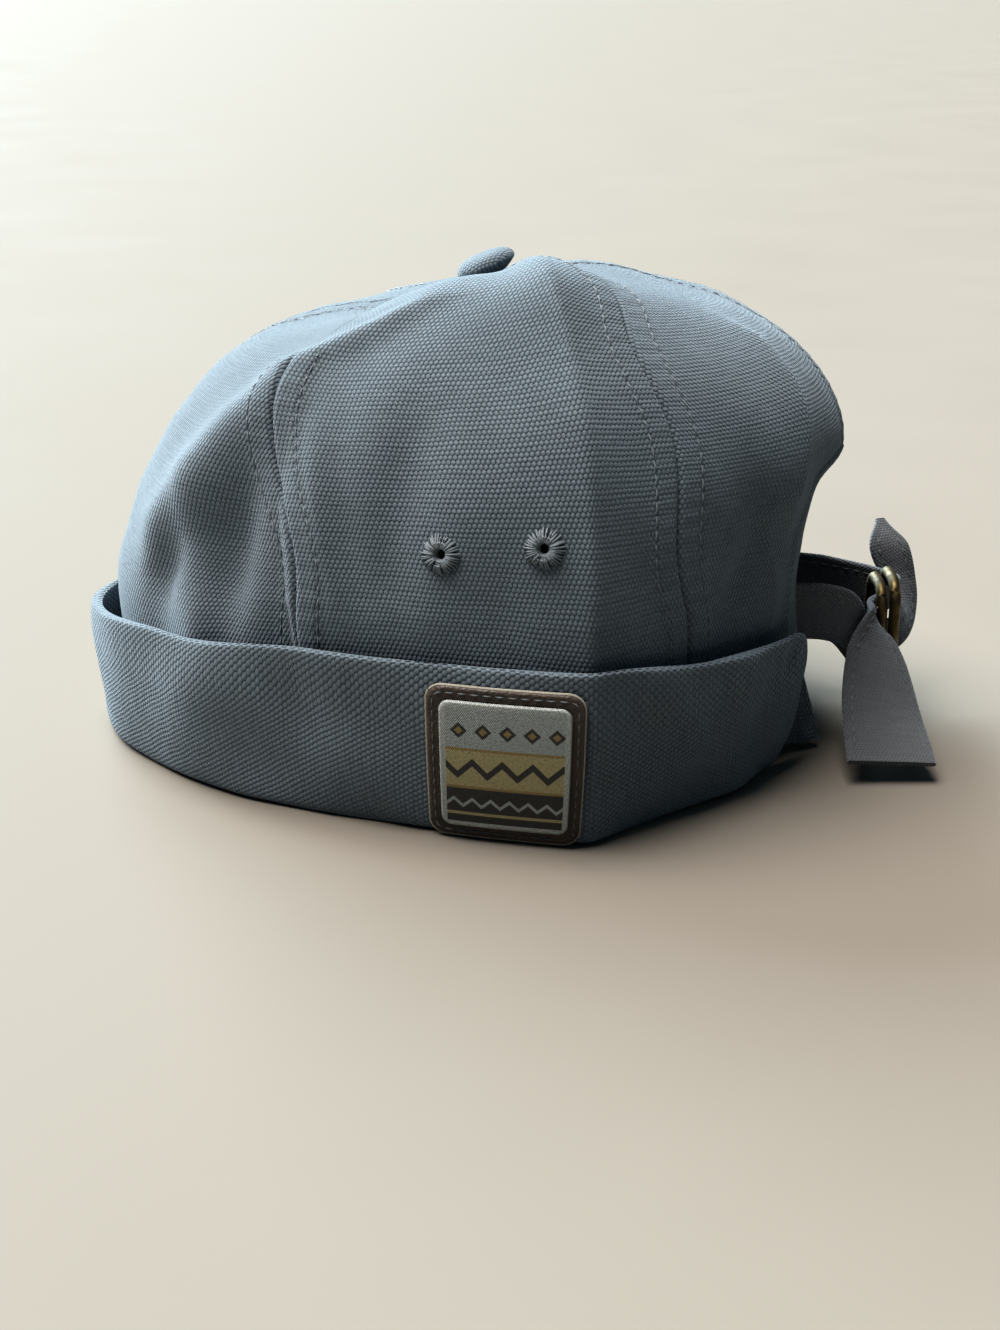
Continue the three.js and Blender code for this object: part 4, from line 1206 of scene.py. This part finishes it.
def floor_material():
    shader = Shader("plain_floor")
    grain = shader.noise(shader.place(), 9, 5)
    shader.set(base_color=shader.mix(grain, *FLOOR))
    shader.set(roughness=shader.between(grain, 0.3, 0.7, 0.8, 0.9))
    shader.set(specular_ior_level=0.1)
    return shader.material


def add_sun(name, towards, strength, spread, colour):
    data = bpy.data.lights.new(name, "SUN")
    data.energy = strength
    data.angle = math.radians(spread)
    data.color = colour
    aim(put_in_scene(name, data), towards)


def light_stage():
    world = bpy.data.worlds.new("studio")
    world.use_nodes = True
    sky = world.node_tree.nodes["Background"].inputs
    sky["Color"].default_value = (*SKY, 1.0)
    sky["Strength"].default_value = SKY_STRENGTH
    bpy.context.scene.world = world
    for name, sun in SUNS.items():
        add_sun(name, *sun)
    bpy.ops.mesh.primitive_plane_add(size=FLOOR_SIZE)
    floor = bpy.context.object
    floor.name = "floor"
    floor.data.materials.append(floor_material())


def add_camera():
    data = bpy.data.cameras.new("camera")
    data.sensor_width = 36
    data.lens = CAMERA_LENS
    camera = put_in_scene("camera", data)
    camera.location = in_frame(CAMERA_PLACE)
    camera.rotation_euler = (math.radians(90 - CAMERA_PITCH), 0, 0)
    bpy.context.scene.camera = camera


def fit(piece, slot, *nodes):
    """Puts a piece on the cap in place of the solids it stands for"""
    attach(piece, "root")
    if nodes:
        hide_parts(*nodes)


def build_crown(cloth, thread, eyelet_thread):
    for name, first, second in PANELS:
        piece = panel_mesh(name, first, second, cloth)
        for panel, az, z in EYELETS.values():
            if panel == name:
                place, facing, _, _ = seat_frame(az, z)
                drill(piece, place, facing, EYELET_HOLE, EYELET_CUT_DEPTH)
        fit(piece, "canvas", name)
    fit(tubes_mesh("crown_stitches", seam_stitches(), thread), "thread")
    rng = np.random.default_rng(SEED)
    for name in EYELETS:
        fit(eyelet_mesh(name, eyelet_thread, rng), "thread", name)
    fit(button_mesh(cloth), "canvas", "button")


def build_patch(thread):
    backing = patch_sheet("patch_border", 0, PATCH_CORNER, PATCH_LIFT, PATCH_THICKNESS,
                          PATCH_ROUND, leather_material())
    fit(backing, "patch_leather", "patch_backing")
    face = patch_sheet("patch_label", PATCH_BORDER, PATCH_FACE_CORNER, PATCH_FACE_LIFT, PATCH_FACE_THICKNESS,
                       PATCH_FACE_ROUND, label_material())
    fit(face, "patch_weave", "patch_face")
    top = PATCH_LIFT + PATCH_THICKNESS
    route, above = patch_route(PATCH_STITCH_INSET, top + PATCH_STITCH_LIFT)
    stitches = stitch_tubes(route, unit(above - route), **PATCH_STITCH)
    fit(tubes_mesh("patch_stitches", stitches, thread), "thread")
    edge, _ = patch_route(PATCH_EDGE_INSET, top - PATCH_EDGE_DROP)
    cream = thread_material("edge_thread", *CREAM_THREAD)
    rope = [(edge[:-1], np.full(len(edge) - 1, PATCH_EDGE_RADIUS))]
    fit(tubes_mesh("patch_edge", rope, cream, closed=True), "thread")


def build_strap(thread):
    cloth = canvas("strap_canvas", *STRAP_CANVAS, 0.9, 0.8, 0.25)
    routes = {
        "strap_near": [seat_row(*row) for row in NEAR_SEAT] + list(NEAR_ROUTE),
        "strap_far": [seat_row(*row) for row in FAR_SEAT] + list(FAR_ROUTE),
    }
    stitches = []
    for name, rows in routes.items():
        fit(strap_mesh(f"{name}_cloth", rows, cloth), "strap_canvas", name)
        stitches += strap_stitches(rows)
    fit(tubes_mesh("strap_stitches", stitches, thread), "thread")
    brass = brass_material()
    for name in RINGS:
        fit(ring_mesh(name, brass), "antique_brass", name)


light_stage()
add_camera()
view = bpy.context.scene.view_settings
view.view_transform = "Standard"
view.look = "Medium High Contrast"
crown_cloth = canvas("canvas", *CANVAS, 1.2, 1.13, 0.45)
dark_thread = thread_material("thread", *DARK_THREAD)
seam_thread = thread_material("seam_thread", *SEAM_THREAD)
pale_thread = thread_material("eyelet_thread", *EYELET_YARN)
build_crown(crown_cloth, seam_thread, pale_thread)
fit(cuff_mesh(crown_cloth), "canvas", "cuff")
build_patch(dark_thread)
build_strap(dark_thread)
